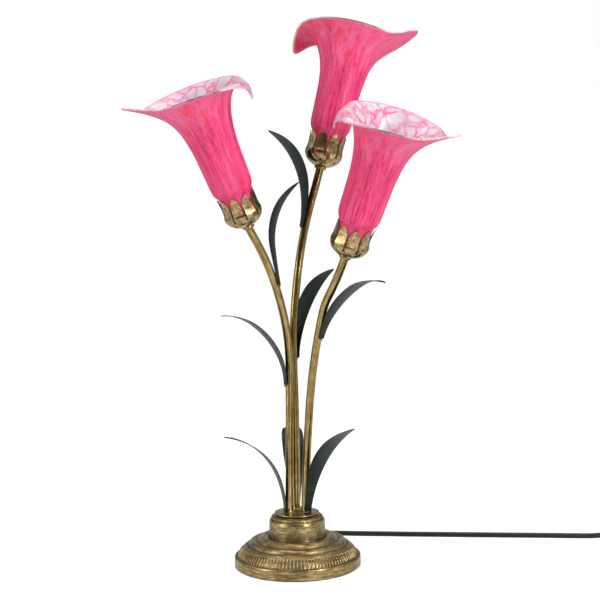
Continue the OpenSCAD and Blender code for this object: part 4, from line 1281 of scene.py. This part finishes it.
def add_switch_shell(name, levels, node):
    """A moulded shell from levels of height and how far its outline is drawn in there."""
    corner = 7
    rings = []
    for z, inset in levels:
        outline = rounded_outline(SWITCH_LONG - 2 * inset, SWITCH_WIDE - 2 * inset, max(corner - inset, 0.4))
        rings.append(np.column_stack([outline + np.array(SWITCH_AT), np.full(len(outline), float(z))]))
    return lofted(name, rings, SWITCH, node)


def add_switch():
    """The in-line switch: two moulded shells, a rocker in its recess, and grip bars on its lid."""
    x, y = SWITCH_AT
    low = [(0, 1.0), (0.3, 0.45), (1.0, 0), (7.7, 0), (8.0, 0.25)]
    high = [(8.0, 0.25), (8.3, 0), (13.2, 0.15), (14.6, 0.7), (15.5, 1.7), (LID_TOP, 3.4)]
    shells = [add_switch_shell("switch_lower_case", low, "switch_bottom")]
    shells.append(add_switch_shell("switch_upper_case", high, "switch_top"))
    window = rounded_outline(21.6, 11.2, 1.6, 6) + np.array([x, y])
    cut_with(shells[1], [(px, py, z) for z in (9.0, 17.0) for px, py in window])
    for made in shells:
        for end in (-1, 1):
            hole = [(SCREW_HOLE_R * math.cos(a) + y, SCREW_HOLE_R * math.sin(a) + 7.0) for a in circle(28)]
            cut_with(made, [(x + end * reach, py, z) for reach in (26, 33) for py, z in hole])
        bevelled(made, 0.3, 55, 50)
    made = [*shells, add_rocker(x, y)]
    for k, side in ((-1, "left"), (1, "right")):
        for number in range(4):
            made.append(add_grip_bar(f"switch_grip_{side}_{number}", x + k * (16.5 + 2.6 * number), y))
    return made


def add_grip_bar(name, x, y):
    """A low rounded bar across the lid, for the thumb."""
    half = 7.5
    height = 0.28
    rings = []
    for v in np.linspace(-half, half, 15):
        size = math.sqrt(max(0.0, 1 - (v / half) ** 8))
        for a in circle(12):
            z = LID_TOP - height + height * size * math.sin(a)
            rings.append((x + 0.62 * size * math.cos(a), y + v, z))
    return piece(name, rings, grid_faces(15, 12), SWITCH, weld=0.01)


def add_rocker(x, y):
    """The rocker: a saddle-topped paddle with soft edges on its pin."""
    c, s = math.cos(math.radians(ROCKER_TILT)), math.sin(math.radians(ROCKER_TILT))
    outline = softened(ROCKER_LINE, 0.7, True)
    away = outline - outline.mean(axis=0)
    away = away / np.linalg.norm(away, axis=1)[:, None]
    rings = []
    end = ((-5.2, 0.9), (-5.1, 0.5), (-4.8, 0.15), (-4.3, 0))
    for v, inset in (*end, *((-v, inset) for v, inset in end[::-1])):
        u, w = (outline - away * inset).T
        height = ROCKER_PIN_Z + (u * s + w * c)
        rings.append(np.column_stack([x + (u * c - w * s), np.full(len(u), y - v), height]))
    return lofted("switch_rocker_cap", rings, SWITCH, "switch_rocker", body="rocker")


def add_plug():
    """The moulded plug with finger grips and a grooved relief, and its two flat blades."""
    rings = []
    for x, width, height, corner in PLUG_SECTIONS:
        outline = rounded_outline(width, height, corner)
        rings.append(np.column_stack([np.full(len(outline), x), outline + np.array([PLUG_Y, PLUG_Z])]))
    made = [lofted("plug_moulding", rings, CORD, "plug_body")]
    outer = [(409.5, 4.9)]
    x = 410.6
    while x < 422.5:
        r = 4.85 - 1.5 * (x - PLUG_END) / 14
        outer += [(x, r), (x + 0.3, r - 0.6), (x + 1.0, r - 0.6), (x + 1.3, r - 0.1)]
        x += 2.5
    outer += [(423.4, 3.4), (424, 3.1), (424, RELIEF_BORE_R), (409.5, RELIEF_BORE_R)]
    made.append(ring_sweep("plug_relief", outer, "x", (0, PLUG_Y, PLUG_Z)))
    made.append(add_blade("plug_blade_front", PLUG_Y - BLADE_PITCH / 2, "plug_blades"))
    made.append(add_blade("plug_blade_back", PLUG_Y + BLADE_PITCH / 2))
    return made


def add_blade(name, y, *nodes):
    """A flat blade with a hole near its end. The two stand for one node, so only one of them names it."""
    outline = softened(BLADE_LINE, 0.5, True, 2)
    away = np.sign(outline - outline.mean(axis=0))
    rings = []
    for v, inset in ((-0.75, 0.18), (-0.6, 0), (0.6, 0), (0.75, 0.18)):
        flat = outline - inset * away
        rings.append(np.column_stack([flat[:, 0], np.full(len(flat), y + v), PLUG_Z + flat[:, 1]]))
    blade = lofted(name, rings, NICKEL, *nodes, crease=35)
    r = BLADE_HOLE_R
    hole = [(BLADE_HOLE_X + r * math.cos(a), PLUG_Z + r * math.sin(a)) for a in circle(24)]
    cut_with(blade, [(x, y + reach, z) for reach in (-2, 2) for x, z in hole])
    blade.data.set_sharp_from_angle(angle=math.radians(35))
    return blade


# Finishes of the pieces inside, which keep their solids

INSIDE_FINISHES = {
    "base_weight": IRON, "clamp_pipe": BRIGHT, "clamp_nut": BRIGHT, "clamp_washer": STEEL,
    "wire_splice": SPLICE, "base_lead": CORD, "lead_left": LEAD, "lead_centre": LEAD, "lead_right": LEAD,
    "cup_nuts": BRIGHT, "screw_shells": NICKEL, "centre_contacts": BRIGHT, "switch_contacts": BRIGHT,
    "switch_screws": STEEL,
}


def finish_inside():
    for name, finish in INSIDE_FINISHES.items():
        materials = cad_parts[name].data.materials
        materials.clear()
        materials.append(finish)


# Studio

WHITE = (1.0, 1.0, 1.0, 1.0)


def add_light(name, at, aim, size, power):
    data = bpy.data.lights.new(name, "AREA")
    data.shape = "RECTANGLE"
    data.size, data.size_y = size
    data.energy = power
    light = added(name, data)
    light.location = at
    light.rotation_euler = (Vector(aim) - Vector(at)).to_track_quat("-Z", "Y").to_euler()


def add_world():
    """A white studio. What lamps and glass reflect of it is darker towards the front, as in a tent."""
    world = bpy.data.worlds.new("studio")
    bpy.context.scene.world = world
    world.use_nodes = True
    n = Nodes(world.node_tree)
    way = n.node("TexCoord", {}).outputs["Generated"]
    front = n.steps(n.node("SeparateXYZ", {0: way}).outputs["Y"], -0.95, -0.35, 0.05, 0.6)
    seen = n.node("LightPath", {}).outputs
    through = n.sum(seen["Is Camera Ray"], seen["Is Transmission Ray"], "MAXIMUM")
    level = n.node("Mix", {"Factor": through, 2: front, 3: 1.0}, data_type="FLOAT").outputs[0]
    sky = n.tree.nodes["Background"].inputs
    n.link(level, sky["Strength"])
    sky["Color"].default_value = WHITE


def add_floor():
    """A pale sweep: floor, curve and back wall in one sheet, white to the camera but with its shadow."""
    bend = [(2.2 + 1.2 * math.sin(a), 1.2 - 1.2 * math.cos(a)) for a in np.linspace(0, math.pi / 2, 14)]
    profile = [(-3.0, 0.0), *bend, (3.4, 5.0)]
    mesh = bpy.data.meshes.new("studio_floor")
    points = [(x, y, z) for y, z in profile for x in (-5.0, 5.0)]
    mesh.from_pydata(points, [], grid_faces(len(profile), 2, False))
    mesh.polygons.foreach_set("use_smooth", np.ones(len(mesh.polygons), bool))
    f = Finish("studio_floor_finish", Roughness=0.8, Specular_IOR_Level=0.1)
    greys = {"Factor": f.noise(f.place(), 2.0, 2), 6: (0.78, 0.78, 0.78, 1), 7: (0.82, 0.82, 0.82, 1)}
    f.colour(f.node("Mix", greys, data_type="RGBA").outputs[2])
    glow = f.node("Emission", {"Color": WHITE, "Strength": 1.4}).outputs[0]
    share = f.times(f.node("LightPath", {}).outputs["Is Camera Ray"], 0.62)
    mixed = f.node("MixShader", {"Fac": share, 1: f.shader.outputs[0], 2: glow}).outputs[0]
    f.link(mixed, f.tree.nodes["Material Output"].inputs["Surface"])
    mesh.materials.append(f.material)
    added("studio_floor", mesh)


def add_studio():
    bpy.context.scene.view_settings.view_transform = "Standard"
    add_world()
    add_floor()
    add_light("key_light", (0.9, -1.1, 0.8), (0, 0, 0.3), (0.22, 1.4), 18)
    add_light("fill_light", (-1.3, -0.7, 0.7), (0, 0, 0.25), (0.5, 1.4), 8)
    add_light("top_light", (0.1, 0.1, 1.9), (0, 0, 0.2), (1.4, 1.2), 12)


add_camera()
(first_cord, first_length), (second_cord, second_length) = add_cords()
for index in (LEFT, CENTRE, RIGHT):
    add_stem(index)
    add_collar(index)
    add_cup(index)
    add_holder(index)
    add_bulb(index)
    add_shade(index)
for number, (leaf_name, leaf_data) in enumerate(LEAVES.items()):
    add_leaf(leaf_name, leaf_data)
    if leaf_data[1] > 0:
        add_leaf_braze(leaf_name, leaf_data, number)
add_base()
add_small_turned()
for index in (LEFT, CENTRE, RIGHT):
    add_foot_braze(index)
switch_pieces = [add_relief(), *add_switch()]
switch_pieces += [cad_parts["switch_contacts"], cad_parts["switch_screws"]]
plug_pieces = add_plug()
finish_inside()
add_studio()
